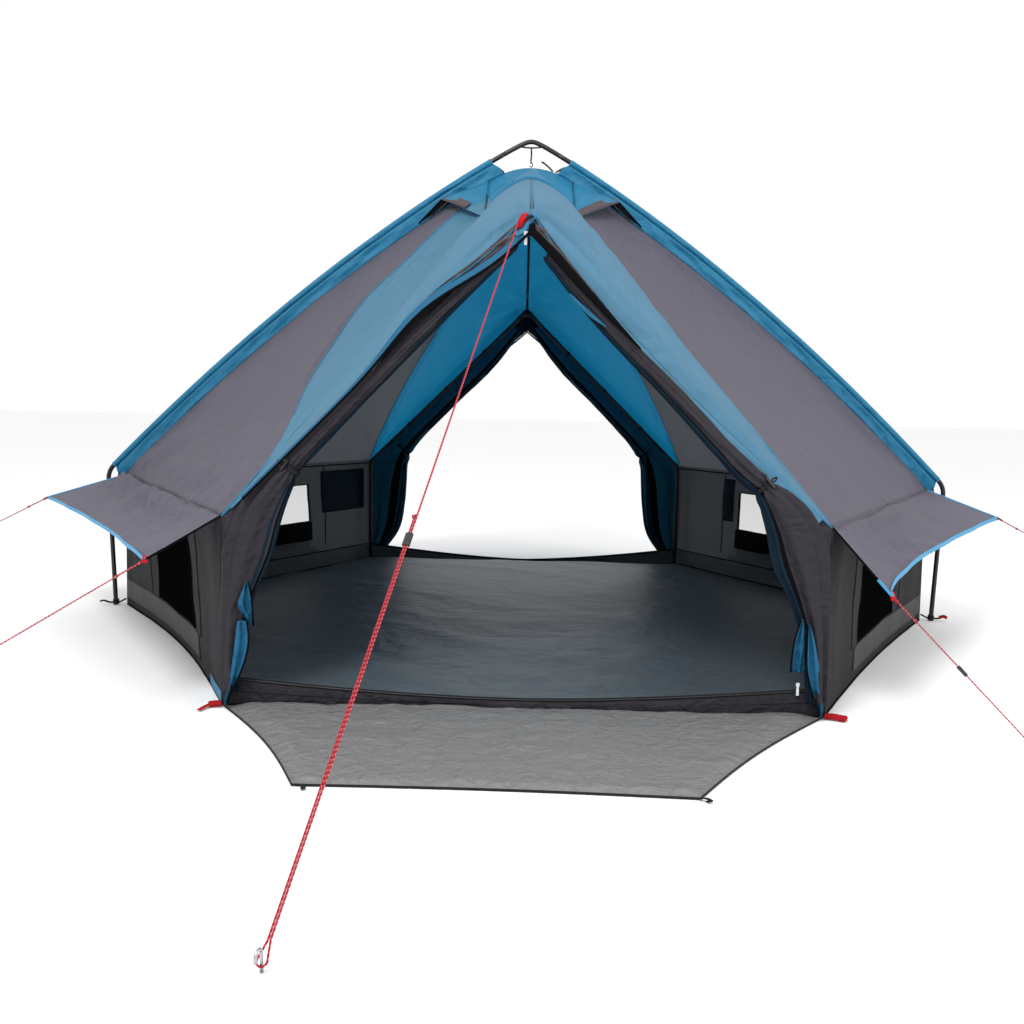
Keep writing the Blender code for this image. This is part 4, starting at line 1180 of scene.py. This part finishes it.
def add_awning(word, side):
    rows, cols = 70, 130
    K, W = grid(rows, cols)
    eave = mix(arr(side * DOOR, -DEPTH, EAVE), arr(side * MID, 0, EAVE), W)
    P = mix(eave, awning_outer(W, side), K)
    X, Y = grid_arcs(P)
    belly = -0.020 * hump(W) * hump(K) ** 0.8
    if side > 0:
        free = hump(np.clip(K * 0.9 + 0.05, 0, 1)) ** 0.5 * smooth(K / 0.2)
        folds = free * (0.008 * np.sin(W * 105 + 4 * noise(W * 5, K * 2, 111)) * np.exp(
            -((W - 0.30) / 0.12) ** 2) + 0.010 * np.sin(W * 34 + 3 * noise(W * 3, K * 2, 117))
            * np.exp(-((W - 0.40) / 0.22) ** 2))
        folds = folds + 0.008 * fbm(X * 3, Y * 3, 112) + 0.003 * creased(X * 6, Y * 6, 115, 2)
    else:
        folds = 0.030 * creased(X * 5 + 3 * Y, Y * 7, 113, 3) * np.exp(-Y / 0.15)
        folds = folds + 0.007 * np.sin((0.7 * X + Y) * 75 + 5 * noise(X * 5, Y * 5, 118)) \
            * np.exp(-((Y - 0.08) / 0.09) ** 2) * smooth(X / 0.4)
        folds = folds + 0.008 * fbm(X * 2.2, Y * 3.5, 114) + 0.005 * np.sin(Y * 45 + X * 4) \
            * np.exp(-((W - 0.75) / 0.2) ** 2)
        folds = folds + 0.003 * creased(X * 8, Y * 6, 116, 2)
    P = push(P, belly * smooth(K / 0.3) + folds * edge_mask(P.shape[:2], 0.05),
             inside=(0, -0.8, -3))
    name = f"awning_{word}"
    cloth(name + "_cloth", P, ["roof_fabric", "roof_inside"], inside=(0, -0.8, -3), nodes=[name],
          held="stretched", rests=[f"roof_front_{word}"])
    wide = 0.018 if side > 0 else 0.014
    strap(name + "_outer_binding", P[-1], wide, "sky_binding", (0, 0, 1), 0.0035)
    split = len(P) * 3 // 4
    strap(name + "_near_binding", P[:split + 1, 0], 0.007, "dark_cloth", (0, 0, 1), 0.0035)
    strap(name + "_near_binding_tip", P[split:, 0], 0.009,
          "sky_binding" if side > 0 else "dark_cloth", (0, 0, 1), 0.0035)
    strap(name + "_far_binding", P[:, -1], 0.010, "sky_binding", (0, 0, 1), 0.0035)
    seam(name + "_crease", P[1] + UP * 0.001, "roof_fabric", 0.0022)
    for tag, corner, inner in (("near", P[-1, 0], P[-6, 5]), ("far", P[-1, -1], P[-6, -6])):
        out = unit(corner - inner)
        across = unit(np.cross(out, arr(0, 0, 1)))
        path = [corner - out * 0.030 + UP * 0.002, corner - out * 0.015 + UP * 0.003,
                corner + UP * 0.002, corner + out * 0.010, corner + out * 0.013 - arr(
                    0, 0, 0.003), corner + out * 0.008 - UP * 0.006,
                corner - out * 0.008 - UP * 0.005, corner - out * 0.028 - UP * 0.004]
        strap(f"{name}_{tag}_loop", spline(path, 40), 0.016, "red_webbing", across)


# ------------------------------------------------------------------ vents
HOOD_TIP = {-1: arr(-0.42, -0.045, 1.985), 1: arr(0.42, -0.045, 1.985)}


def vent_frame(side):
    """Ends of a hood along the roof seam, and the directions along, down and out of it."""
    low = door_ridge(np.array(CAP_SHARE), side, -1)
    high = arr(side * RIDGE_END, 0, float(ridge_z(RIDGE_END)))
    along = unit(high - low)
    out = unit(np.cross(along, arr(side * 0.49, 0, float(ridge_z(0.49))) - low))
    out = out if out[2] > 0 else -out
    down = unit(np.cross(out, along))
    down = -down if down[2] > 0 else down
    return low, high, along, down, out


def add_vent(word, side):
    low, high, along, down, out = vent_frame(side)
    tip, body = HOOD_TIP[side], f"vent_hood_{word}"
    a0, a1 = low + along * 0.012 + out * 0.007, high - along * 0.020 + out * 0.007
    A, B = grid(44, 34)
    P = mix(mix(a0, tip, B), mix(a1, tip, B), A)
    swell = 0.020 * hump(A) * hump(B) ** 0.8 + 0.005 * fbm(A * 4, B * 4, 121)\
        * hump(B) * hump(A)
    P = P + out * swell[..., None]
    below = tuple(low - out * 2)
    name = f"vent_hood_{word}"
    # a corner of the left hood is drawn in the lighter canopy blue, as a painted highlight
    painted_lit = (halves(A) / 0.42 + halves(B) / 0.50 < 1) & (side < 0)
    cloth(name + "_cloth", P, ["blue_fabric", "canopy_fabric"], index=painted_lit.astype(int),
          inside=below, thick=0.0014, nodes=[name], body=body, held="stretched",
          rests=[f"vent_prop_{word}"])
    # folded hem along the edge that faces the door, widest at the open corner
    t = np.linspace(0.42 if side < 0 else 0.0, 1, 44)
    over = 0.046 - 0.012 * (1 - t)
    under = 0.003 + 0.001 * t
    inward = unit(high - tip)
    edge = mix(a0, tip, t) + (out * 0.006)[None] * hump(t)[:, None]
    face = arr(0, -0.004, 0)
    rise = (0.012 * hump(t) ** 0.8)[:, None]
    H = np.stack([edge + inward * over[:, None] + out * (0.0045 + rise),
                  edge + inward * (over * 0.4)[:, None] + out * (0.0045 + rise * 0.5) + face * 0.6,
                  edge + out * 0.002 + face,
                  edge - out * (under * 0.35)[:, None] + face * 1.2,
                  edge - out * (under * 0.7)[:, None] + face * 1.1,
                  edge - out * under[:, None] + face * 0.8], 1)
    cloth(name + "_hem", H, ["brown_cloth"], inside=below, thick=0.0012, body=body)
    seam(name + "_ridge_edge", mix(tip, a1, np.linspace(0, 1, 40)), "blue_fabric", 0.003,
         body=body)
    # mesh over the vent opening, on the roof under the hood
    r0 = low + along * 0.03
    foot = low + along * 0.30 + down * 0.16
    M = mix(mix(r0, foot, B), mix(high - along * 0.03, foot, B), A)
    lift = out * (0.0035 + 0.002 * hump(A) * hump(B))[..., None]
    cloth(f"vent_mesh_{word}", M + lift, ["vent_mesh"], inside=below, thick=0.0005)
    # side gusset from the tip to the ridge
    x = 0.53
    base = arr(side * x, -0.030, float(ridge_z(x)) + 0.004)
    ridge_top = high + arr(0, -0.012, 0.002)
    roof_edge = mix(ridge_top, base, B) + UP * 0.001
    hood_edge = mix(a1, tip, B)
    G = mix(roof_edge, hood_edge, A)
    G = G + arr(0, 1, 0) * (0.006 * hump(A) * hump(B))[..., None]
    gusset = cloth(f"vent_gusset_{word}", G, ["vent_mesh"], inside=tuple(low - down), thick=0.0005,
                   body=None)
    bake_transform(gusset)
    line = seam(f"vent_gusset_edge_{word}", mix(tip, base, np.linspace(0, 1, 40)), "dark_cloth",
                0.0045, body=None)
    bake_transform(line)


# ------------------------------------------------------------------ rolled doors
ROLL_ALONG = {
    -1: [(0.05, 0.055, 0.024), (0.22, 0.075, 0.031), (0.45, 0.078, 0.032), (0.70, 0.082, 0.040)],
    1: [(0.05, 0.060, 0.028), (0.25, 0.085, 0.045), (0.50, 0.085, 0.046), (0.72, 0.092, 0.050)],
}
ROLL_HANG = {
    -1: [(0.775, 0.772, 0.042, 0.002), (0.858, 0.655, 0.088, 0.004), (0.903, 0.530, 0.104, 0.010),
         (0.936, 0.400, 0.072, 0.022), (0.960, 0.260, 0.050, 0.034), (0.972, 0.060, 0.038, 0.036)],
    1: [(0.820, 0.680, 0.080, 0.004), (0.868, 0.520, 0.112, 0.020), (0.885, 0.380, 0.116, 0.038),
        (0.905, 0.230, 0.106, 0.042), (0.950, 0.090, 0.062, 0.042)],
}
TIE_AT = {-1: 4.0, 1: 3.6}


def roll_line(side, end, count):
    """Middle, half width, half thickness and place of a rolled door, one unit per station."""
    drawn_up = end < 0 and side < 0
    along_up = (0.022, 0.045, 0.042, 0.037) if drawn_up else (0, 0, 0, 0)
    hang_up = (0.030, 0.014, 0.004) if drawn_up else ()
    stops = []
    for (x, below, r), up in zip(ROLL_ALONG[end], along_up):
        z = EAVE + (DOOR - x) * PITCH - (below - up) * math.hypot(1, PITCH)
        stops.append((side * x, end * 1.748, z, r, r))
    for k, (x, z, half, beyond) in enumerate(ROLL_HANG[end]):
        up = hang_up[k] if k < len(hang_up) else 0
        stops.append((side * x, end * (DEPTH + beyond), z + up, half, min(half, 0.036)))
    line = spline(stops, count)
    return line[:, :3], line[:, 3], line[:, 4], np.linspace(0, len(stops) - 1, count)


def roll_body(name, side, end, mats, shift, wide, thick, seed, folds, nodes=(),
              dark=(), crease=0.0):
    """One lumpy length of the rolled door, shifted across it by a share of its width."""
    C, half, deep, place = roll_line(side, end, 220)
    _, S, N = frames(C, (0, 1, 0))
    inner = N * side
    along = arc(C)
    angle = 2 * np.pi * np.arange(64) / 64
    A, L = np.meshgrid(angle, along, indexing="xy")
    hang = smooth((place - TIE_AT[end]) / 0.7)[:, None]
    pinch = 1 - 0.45 * np.exp(-((place - TIE_AT[end]) / 0.14) ** 2)[:, None]
    near_tie = np.exp(-((place - TIE_AT[end]) / 0.45) ** 2)[:, None]
    long_noise = noise(np.cos(A) * 2.4 + seed, np.sin(A) * 2.4 + L * (1.6 + 2 * (1 - hang)), seed)
    lumps = noise(np.cos(A) * 1.2 + L * 15, np.sin(A) * 1.2 - L * 9, seed + 3)
    pleats = np.cos(A * 9 + 2.6 * noise(np.cos(A) + L * 3, np.sin(A) + 0 * L, seed + 5))
    drape = np.cos(A * 5 + 1.8 * noise(np.cos(A) + L * 1.5, np.sin(A) + 0 * L, seed + 9) + L * 2)
    f = 1 + folds * (0.14 * long_noise + 0.09 * lumps * (1 - 0.6 * hang)
                     + (0.05 + 0.13 * near_tie) * pleats + 0.20 * hang * drape)
    # one deep fold runs from the tie to the ground
    gap = np.angle(np.exp(1j * (A - 1.25 * np.pi - 0.25 * np.sin(L * 3))))
    f = (f - crease * hang * np.exp(-(gap / 0.13) ** 2)) * pinch
    f = f * smooth(np.minimum(along, along[-1] - along) / 0.012 + 0.35)[:, None]
    middle = C + inner * (shift * half)[:, None]
    # the outer edge of the hanging part keeps to the wall's corner seam
    rings_at = (middle[:, None] + S[:, None] * (deep[:, None] * thick * np.cos(A) * f)[..., None]
                + inner[:, None] * (half[:, None] * wide * np.sin(A) * (1 + (f - 1) * (
                    1 - 0.7 * hang)))[..., None])
    index = [1 if any(a <= g / (2 * np.pi) < b for a, b in dark) else 0 for g in angle]
    obj = loft(name, rings_at, mats, nodes=nodes, index=index if dark else None)
    return obj


def add_roll(word_end, end, word, side):
    name = f"door_roll_{word_end}_{word}"
    seed = 130 + 10 * end + 3 * side
    if end < 0:
        # the dark stripes are the roll's inner layers
        dark = ((0.10, 0.34),) if side < 0 else ((0.16, 0.36),)
        shift, wide = (0.42, 0.24) if side < 0 else (0.58, 0.28)
        roll_body(name + "_cloth", side, end, ["door_fabric", "dark_cloth"], -0.16,
                  0.76 if side < 0 else 0.80, 0.95, seed, 1.0, nodes=[name], dark=dark,
                  crease=0.22 if side > 0 else 0.08)
        roll_body(name + "_mesh", side, end, ["navy_mesh"], shift, wide, 0.62, seed + 1, 1.2)
    else:
        roll_body(name + "_cloth", side, end, ["navy_fabric", "dark_cloth"], -0.10, 0.90, 0.95,
                  seed, 1.3, nodes=[name], dark=((0.0, 0.10), (0.36, 0.46), (0.90, 1.01)))
        roll_body(name + "_mesh", side, end, ["navy_mesh"], 0.64, 0.30, 0.60, seed + 1, 1.2)
        C, half, _, place = roll_line(side, end, 200)
        N = frames(C, (0, 1, 0))[2]
        keep = place > TIE_AT[end] + 0.5
        line = (C + N * side * (half * 0.90)[:, None] - arr(0, 0.012, 0))[keep]
        seam(name + "_rim", line, "blue_fabric", 0.0045, side=ALONG)
    # tie with its toggle
    C, half, deep, place = roll_line(side, end, 400)
    k = int(np.argmin(np.abs(place - TIE_AT[end])))
    T, S, N = frames(C, (0, 1, 0))
    tie = ring(C[k], S[k] * deep[k] * 0.66, N[k] * half[k] * 0.72, 36)
    strap(name + "_tie", tie, 0.014, "black_webbing", T[k], closed=True)
    spot = C[k] + arr(0, end * (deep[k] * 0.66 + 0.006), 0) - N[k] * side * half[k] * 0.60
    bar = mix(spot - T[k] * 0.024, spot + T[k] * 0.024, np.linspace(0, 1, 13))
    r = 0.006 * np.sqrt(np.clip(1 - np.abs(np.linspace(-1.02, 1.02, 13)) ** 6, 0.05, 1))
    rod(name + "_toggle", bar, r, "black_plastic", side=ALONG)
    loop = [spot, spot - N[k] * side * 0.014 + T[k] * 0.004, spot - N[k] * side * 0.026,
            spot - N[k] * side * 0.016 - T[k] * 0.006, spot - T[k] * 0.002]
    rod(name + "_toggle_loop", spline(loop, 30), 0.003, "black_webbing", side=ALONG, count=8)


def add_door_side(word_end, end, word, side):
    """The outer part of a door panel, from the canopy's edge and the corner to the roll."""
    C = roll_line(side, end, 240)[0]
    upper = C[:, 2] > 0.60
    split = int(np.sum(upper))
    s = np.linspace(0.12, 0.985, split)
    z = np.linspace(EAVE + 0.006, 0.012, len(C) - split)
    near = smooth((s - 0.80) / 0.18)
    top = below_gable(s, side, end, 0.022 - 0.018 * near, -0.016 + 0.018 * near)
    corner = xyz(side * (DOOR + 0.001), end * (DEPTH + 0.003), z)
    outer = np.concatenate([top, corner])
    K, R = grid(16, np.arange(len(C)))
    inner = C + arr(0, end * 0.004, 0) * (1 - upper)[:, None] - arr(0, end * 0.012, 0) \
        * upper[:, None]
    P = mix(outer[None], inner[None], K)
    fold = 0.006 * np.sin(K * 11 + 2 * noise(R * 0.02, K, 151)) * hump(K)
    P[..., 1] += end * (fold + 0.006 * hump(K)) * (1 - upper)[None]
    cloth(f"door_side_{word_end}_{word}", P, ["door_fabric" if end < 0 else "navy_fabric"],
          thick=0.0010, held="hung", rests=[f"{word_end}_leg_{word}"])


def add_door_edge(word_end, end, word, side):
    """Cloth that shows between the canopy's edge and the rolled door."""
    name = f"door_edge_{word_end}_{word}"
    s = np.linspace(0.035, 0.97, 110)
    front = end < 0
    # storm flap along the edge
    wide = 0.040 * smooth((s - 0.22) / 0.2) * (1 - 0.55 * smooth((s - 0.50) / 0.5))
    if side < 0 or not front:
        wide = wide * 0.3
    K, S = grid(6, s)
    wave = 0.005 * np.sin(S * 40 + 2 * noise(S * 9, 0 * S, 141)) * K
    P = below_gable(S, side, end, valance(S, side, end) + 0.001 + wide[None] * K, 0.008 + wave)
    cloth(name + "_flap", P, ["canopy_fabric" if front else "navy_mesh"], thick=0.0009)
    # gathered triangle near the gable
    far = 0.44 if side < 0 else 0.36
    g = np.linspace(0.004, far, 80)
    K, G = grid(24, g)
    tall = 0.036 if side < 0 else 0.030
    depth = tall * hump(np.clip(G / (far * 1.04), 0, 1) ** 0.55) + 0.010
    if not front:
        depth = depth + 0.085 * np.exp(-G / 0.24)
    pleat = 0.006 * np.sin(G * 60 + 6 * noise(G * 8, K * 2, 143)) * hump(K * 0.9)
    P = below_gable(G, side, end, valance(G, side, end) + depth * K, 0.004 + pleat)
    cloth(name + "_gather", P, ["brown_cloth" if front else "navy_mesh"], thick=0.0009)
    # blue strip on the left, wide black band on the right, both over the roll's upper side
    if front and side < 0:
        b = np.linspace(0.0, 0.93, 90)
        drop = 0.002 + valance(b, side, end) + 0.030 * np.exp(-((b - 0.11) / 0.17) ** 2)
        K, B = grid(6, b)
        size = 0.021 - 0.012 * smooth((B - 0.25) / 0.4)
        P = below_gable(B, side, end, drop[None] + size * K,
                        0.006 + 0.026 * smooth(B / 0.15) + 0.012 * K)
        cloth(name + "_strip", P, ["lining_blue"], thick=0.0009)
        line = below_gable(b, side, end, drop + size[0] + 0.003, 0.020 + 0.026 * smooth(b / 0.15))
        seam(name + "_strip_edge", line, "dark_cloth", 0.0045, side=ALONG)
    elif front:
        b = np.linspace(0.006, 0.40, 70)
        drop = valance(b, side, end) + 0.012 + 0.040 * np.exp(-b / 0.14)
        tall = 0.013 * hump(np.linspace(0.10, 0.98, len(b)) ** 0.7) ** 0.7 + 0.001
        rod(name + "_band", below_gable(b, side, end, drop, 0.036), 0.006 + 0 * tall,
            "dark_cloth", side=ALONG, up_radius=tall, count=14)
        b = np.linspace(0.20, 0.31, 30)
        K, B = grid(5, b)
        size = 0.014 * hump((B - 0.19) / 0.13)
        P = below_gable(B, side, end, 0.108 - 0.02 * (B - 0.2) / 0.17 + size * K, 0.030)
        cloth(name + "_strip", P, ["lining_blue"], thick=0.0009)
    else:
        at = g[2:]
        band = below_gable(at, side, end, valance(at, side, end) + depth[0, 2:] + 0.006, 0.006)
        rod(name + "_band", band, 0.005, "dark_cloth", side=ALONG, count=10)


def hoop_line(side, xs):
    xs = np.asarray(xs, float)
    return xyz(side * xs, 0, hoop_z(xs))


def fillet(corner, before, after, radius):
    """Round bend in place of the corner between two straight runs."""
    a, b = unit(before - corner), unit(after - corner)
    half = math.acos(float(np.clip(a @ b, -1, 1))) / 2
    centre = corner + unit(a + b) * radius / math.sin(half)
    start = corner + a * radius / math.tan(half) - centre
    end = corner + b * radius / math.tan(half) - centre
    sweep = math.pi - 2 * half
    return [centre + (start * math.sin(sweep * (1 - t)) + end * math.sin(sweep * t))
            / math.sin(sweep) for t in np.linspace(0, 1, 13)]


def pole(node, path, side):
    """Tube with slightly rounded ends."""
    path = np.asarray(path, float)
    T = unit(np.gradient(path, axis=0))
    path = np.vstack([path[0], path[0] + T[0] * 0.0012, path[1:-1], path[-1] - T[-1] * 0.0012,
                      path[-1]])
    radius = np.full(len(path), TUBE_R)
    radius[0] = radius[-1] = TUBE_R - 0.001
    return rod(node + "_tube", path, radius, "tube", side=side, count=24, nodes=[node])


def add_poles():
    for word, side in SIDES.items():
        rafter = hoop_line(side, np.linspace(RAFTER_END, 0.13, 60))
        up = unit(rafter[1] - rafter[0])
        knee = rafter[0] - up * ((HOOP_KNEE - RAFTER_END) / abs(up[0]))
        foot = arr(side * HOOP_FOOT, 0, 0)
        leg = [foot, mix(foot, knee, 0.3), mix(foot, knee, 0.6)]
        leg += fillet(knee, foot, rafter[0], 0.09) + [rafter[0] - up * 0.0003]
        pole(f"mid_leg_{word}", leg, (0, side, 0))
        pole(f"mid_rafter_{word}", rafter, (0, side, 0))
        cap = [foot + arr(0, 0, h) for h in (0.0002, 0.002, 0.028, 0.030)]
        rod(f"mid_foot_cap_{word}", cap, [0.0115, 0.0132, 0.0132, 0.0115], "black_plastic",
            side=(0, side, 0), count=24)
        # strap from the tent's corner to the foot of the pole
        y = np.linspace(0, 1, 20)
        a, b = arr(side * (MID + 0.004), 0, 0.030), arr(side * 2.004, -0.006, 0.012)
        path = mix(a, b, y)
        rod(f"mid_foot_strap_{word}", path, 0.0065, "black_webbing", side=ALONG,
            up_radius=0.004)
        band = ring(foot + UP * 0.016, arr(0.0145, 0, 0), arr(0, 0.0145, 0), 32)
        strap(f"mid_foot_band_{word}", band, 0.020, "black_webbing", (0, 0, 1), closed=True)
        tail = [arr(side * 2.034, 0, 0.010), arr(side * 2.055, -0.004, 0.012),
                arr(side * 2.075, -0.010, 0.020), arr(side * 2.094, -0.014, 0.017)]
        rod(f"mid_foot_tab_{word}", spline(tail, 24), 0.0065, "black_webbing", side=ALONG,
            up_radius=0.0045)
        if side > 0:
            tab = [tail[1] + arr(0.004, 0, 0.004), tail[2] + arr(0.004, 0, 0.004), tail[3]]
            rod("mid_foot_red_tab", spline(tab, 16), 0.009, "red_webbing", side=ALONG,
                up_radius=0.0075)
    half = np.linspace(0.1298, 0, 14)
    bend = np.vstack([hoop_line(-1, half), hoop_line(1, half[::-1][1:])])
    pole("mid_apex_bend", bend, (0, 1, 0))
    drop = 0.019 * math.hypot(1, PITCH)
    for word_end, end in ENDS.items():
        y = end * DOOR_HOOP_Y

        def rafter_at(x, side):
            return arr(side * x, y, EAVE - drop + (DOOR - x) * PITCH)

        peak = rafter_at(0, 1)
        for word, side in SIDES.items():
            foot, knee = arr(side * 0.985, y, 0.0033), rafter_at(0.985, side)
            join = mix(knee, peak, 0.09)
            leg = [foot, mix(foot, knee, 0.4), mix(foot, knee, 0.7)]
            leg += fillet(knee, foot, peak, 0.08) + [join]
            pole(f"{word_end}_leg_{word}", leg, (0, side, 0))
            top = rafter_at(0.11, side)
            start = join + unit(top - join) * 0.0003
            pole(f"{word_end}_rafter_{word}", [mix(start, top, t) for t in np.linspace(0, 1, 8)],
                 (0, side, 0))
            # clips that hold the shell on the hoop
            for k, f in enumerate((0.2, 0.5, 0.8)):
                at = mix(join, top, f)
                axis = unit(top - join)
                across = arr(0, 0.0135, 0)
                strap(f"{word_end}_clip_{word}_{k}", ring(at, across, np.cross(axis, across), 24),
                      0.014, "black_webbing", axis, closed=True)
        bend = fillet(peak, rafter_at(0.11, -1), rafter_at(0.11, 1), 0.06)
        bend = [rafter_at(0.1097, -1), *bend, rafter_at(0.1097, 1)]
        pole(f"{word_end}_apex_bend", bend, (0, 1, 0))


def add_crown():
    """Strap across the bent top tube, the cord with its hook, and the short elastics."""
    low = CROWN + 0.001
    x = np.linspace(-0.066, 0.066, 24)
    sag = 2.2465 - 0.006 * np.cos(x / 0.066 * np.pi / 2)
    rod("crown_strap", xyz(x, 0, sag), 0.006, "black_webbing", side=ALONG,
        up_radius=0.0034)
    cord = [arr(0, 0, 2.237), arr(0.001, 0, 2.205), arr(-0.001, 0, 2.18), arr(0, 0, low + 0.02)]
    rod("crown_hanger_cord", spline(cord, 30), 0.0036, "black_webbing", side=ALONG,
        nodes=["crown_hanger"])
    hook = [arr(0, 0, low + 0.024), arr(0.006, 0, low + 0.020), arr(0.0075, 0, low + 0.012),
            arr(0.004, 0, low + 0.005), arr(-0.002, 0, low + 0.004), arr(-0.006, 0, low + 0.009)]
    rod("crown_hook", spline(hook, 30), 0.0022, "black_plastic", side=ALONG, count=10)
    runs = (("left", (-0.176, 0, 2.155), (-0.128, 0, 2.124)),
            ("right", (0.176, 0, 2.155), (0.118, 0, 2.127)),
            ("loose", (0.050, -0.004, 2.176), (0.104, -0.002, 2.132)))
    for tag, a, b in runs:
        path = mix(a, b, np.linspace(0, 1, 20))
        path[:, 2] += 0.004 * hump(np.linspace(0, 1, 20))
        seam(f"crown_elastic_{tag}", path, "black_webbing", 0.0040)


# ------------------------------------------------------------------ webbing and small parts
def add_corner_tabs():
    for word_end, end in ENDS.items():
        for word, side in SIDES.items():
            at = arr(side * (DOOR + 0.002), end * (DEPTH + 0.008), 0.010)
            away = unit(arr(side * 0.9, end * (0.45 if side > 0 else 0.25), 0))
            size = 0.066 if side > 0 else 0.042
            across = arr(-away[1], away[0], 0)
            path = [at, at + away * size * 0.5 + UP * 0.002, at + away * size]
            rod(f"corner_tab_{word_end}_{word}", spline(path, 30), 0.0145, "red_webbing",
                side=across, up_radius=0.0085, power=0.6)
            if side > 0:
                tip = at + away * size * 0.98
                knob = [tip - across * 0.014, tip, tip + across * 0.014]
                rod(f"corner_knob_{word_end}_{word}", spline(knob, 12), 0.0085, "red_webbing",
                    side=UP)
            else:
                tip = at + away * size * 0.9
                tail = [tip, tip + arr(-0.012, end * 0.030, -0.002), tip + arr(-0.020,
                                                                           end * 0.058, -0.004)]
                strap(f"corner_tail_{word_end}_{word}", spline(tail, 20), 0.016, "red_webbing",
                      (1, 0.4 * end, 0), thick=0.003)
            base = [at + arr(0, 0, -0.002), at + away * 0.030 + UP * 0.002]
            strap(f"corner_tab_base_{word_end}_{word}",
                  mix(base[0], base[1], np.linspace(0, 1, 8)), 0.030, "black_webbing", across)


def add_gable_parts():
    for word_end, end in ENDS.items():
        mat = "red_webbing" if end < 0 else "black_webbing"
        x0 = -0.036 if end < 0 else 0.0
        path = [arr(x0 * 0.4, end * 1.752, 1.640), arr(x0 * 0.7, end * 1.770, 1.632),
                arr(x0, end * 1.782, 1.612), arr(x0 * 1.1, end * 1.776, 1.592),
                arr(x0 * 0.9, end * 1.762, 1.600), arr(x0 * 0.5, end * 1.754, 1.622)]
        strap(f"gable_loop_{word_end}", spline(path, 40), 0.018, mat, (1, 0, 0), thick=0.0022)
        # seam along the middle of the canopy, seen from inside
        q = np.linspace(0.004, 0.97, 60)
        line = canopy_point(q, 0 * q, end) - UP * 0.006
        strap(f"canopy_{word_end}_inside_tape", line, 0.014, "navy_mesh", (1, 0, 0), thick=0.002)
        outer = canopy_point(q[:40], 0 * q[:40], end) + UP * 0.0008
        seam(f"canopy_{word_end}_centre_seam", outer, "canopy_fabric", 0.0018, side=(1, 0, 0))
        # the hooped zip of the door hangs behind the gathered cloth
        s = np.linspace(0.03, 0.98, 80)
        for word, side in SIDES.items():
            line = below_gable(s, side, end, valance(s, side, end) + 0.004, -0.004)
            seam(f"door_zip_{word_end}_{word}", line, "black_plastic", 0.0026, side=ALONG)
    tab = [arr(0.016, -1.758, 1.636), arr(0.000, -1.768, 1.612), arr(-0.028, -1.772, 1.586),
           arr(-0.052, -1.770, 1.568)]
    strap("gable_tab", spline(tab, 20), 0.020, "blue_fabric", (0.6, 0.1, 0.8), thick=0.003)


def add_door_ends():
    """Blue lining that shows at the lower inner edge of each front door panel."""
    leaves = {
        # stations of x at the inner and the outer edge, and z, from top to bottom
        "right_inner": (1, [(0.900, 0.906, 0.350), (0.884, 0.912, 0.290), (0.880, 0.920, 0.220),
                            (0.885, 0.932, 0.165)]),
        "right_outer": (1, [(0.922, 0.928, 0.335), (0.922, 0.948, 0.270), (0.926, 0.966, 0.190),
                            (0.945, 0.978, 0.120), (0.974, 0.990, 0.050), (0.984, 0.994, 0.014)]),
        "left_inner": (-1, [(0.900, 0.906, 0.440), (0.892, 0.928, 0.390), (0.893, 0.938, 0.350),
                            (0.896, 0.904, 0.285)]),
        "left_outer": (-1, [(0.905, 0.936, 0.310), (0.900, 0.944, 0.250), (0.912, 0.954, 0.185),
                            (0.942, 0.968, 0.110), (0.972, 0.986, 0.050), (0.984, 0.996, 0.014)]),
    }
    for word, (side, stations) in leaves.items():
        line = spline(np.array([(a, b, z) for a, b, z in stations]), 34)
        K, U = grid(34, 14)
        x = line[:, :1] * (1 - U) + line[:, 1:2] * U
        y = -1.838 + 0.050 * K ** 2 - 0.010 * np.sin(U * 9 + 3 * K) * hump(U)
        y = y + 0.006 * creased(K * 6, U * 3 + side, 161, 2) * hump(U)
        P = xyz(side * x, y, line[:, 2:3])
        cloth(f"door_lining_{word}", P, ["lining_blue"], inside=(0, 0, 0.3), thick=0.0009)
        inner = P[:, 0] + arr(-side * 0.001, -0.001, 0)
        seam(f"door_lining_{word}_edge", inner, "dark_cloth", 0.0032, side=ALONG)


add_poles()
for word_end, end in ENDS.items():
    for word, side in SIDES.items():
        add_canopy(word_end, end, word, side)
        add_roof(word_end, end, word, side)
        add_wall(word_end, end, word, side)
        add_roll(word_end, end, word, side)
        add_door_side(word_end, end, word, side)
        add_door_edge(word_end, end, word, side)
    add_sill(word_end, end)
add_cap()
for word, side in SIDES.items():
    add_sleeve(word, side)
    add_awning(word, side)
    add_vent(word, side)
add_groundsheet()
add_apron()
add_crown()
add_corner_tabs()
add_gable_parts()
add_door_ends()

# CAD parts that stay get their finished material
for node in ("vent_prop_left", "vent_prop_right", "zip_pull_top", "zip_pull_sill",
             "main_rope_slider", "near_right_rope_slider"):
    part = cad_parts[node]
    finish = MAT["zip_metal" if node.startswith("zip") else "black_plastic"]
    for held in part.material_slots:
        held.material = finish
    if not part.material_slots:
        part.data.materials.append(finish)
    bevel = part.modifiers.new("edges", "BEVEL")
    bevel.width, bevel.segments = 0.0006, 2
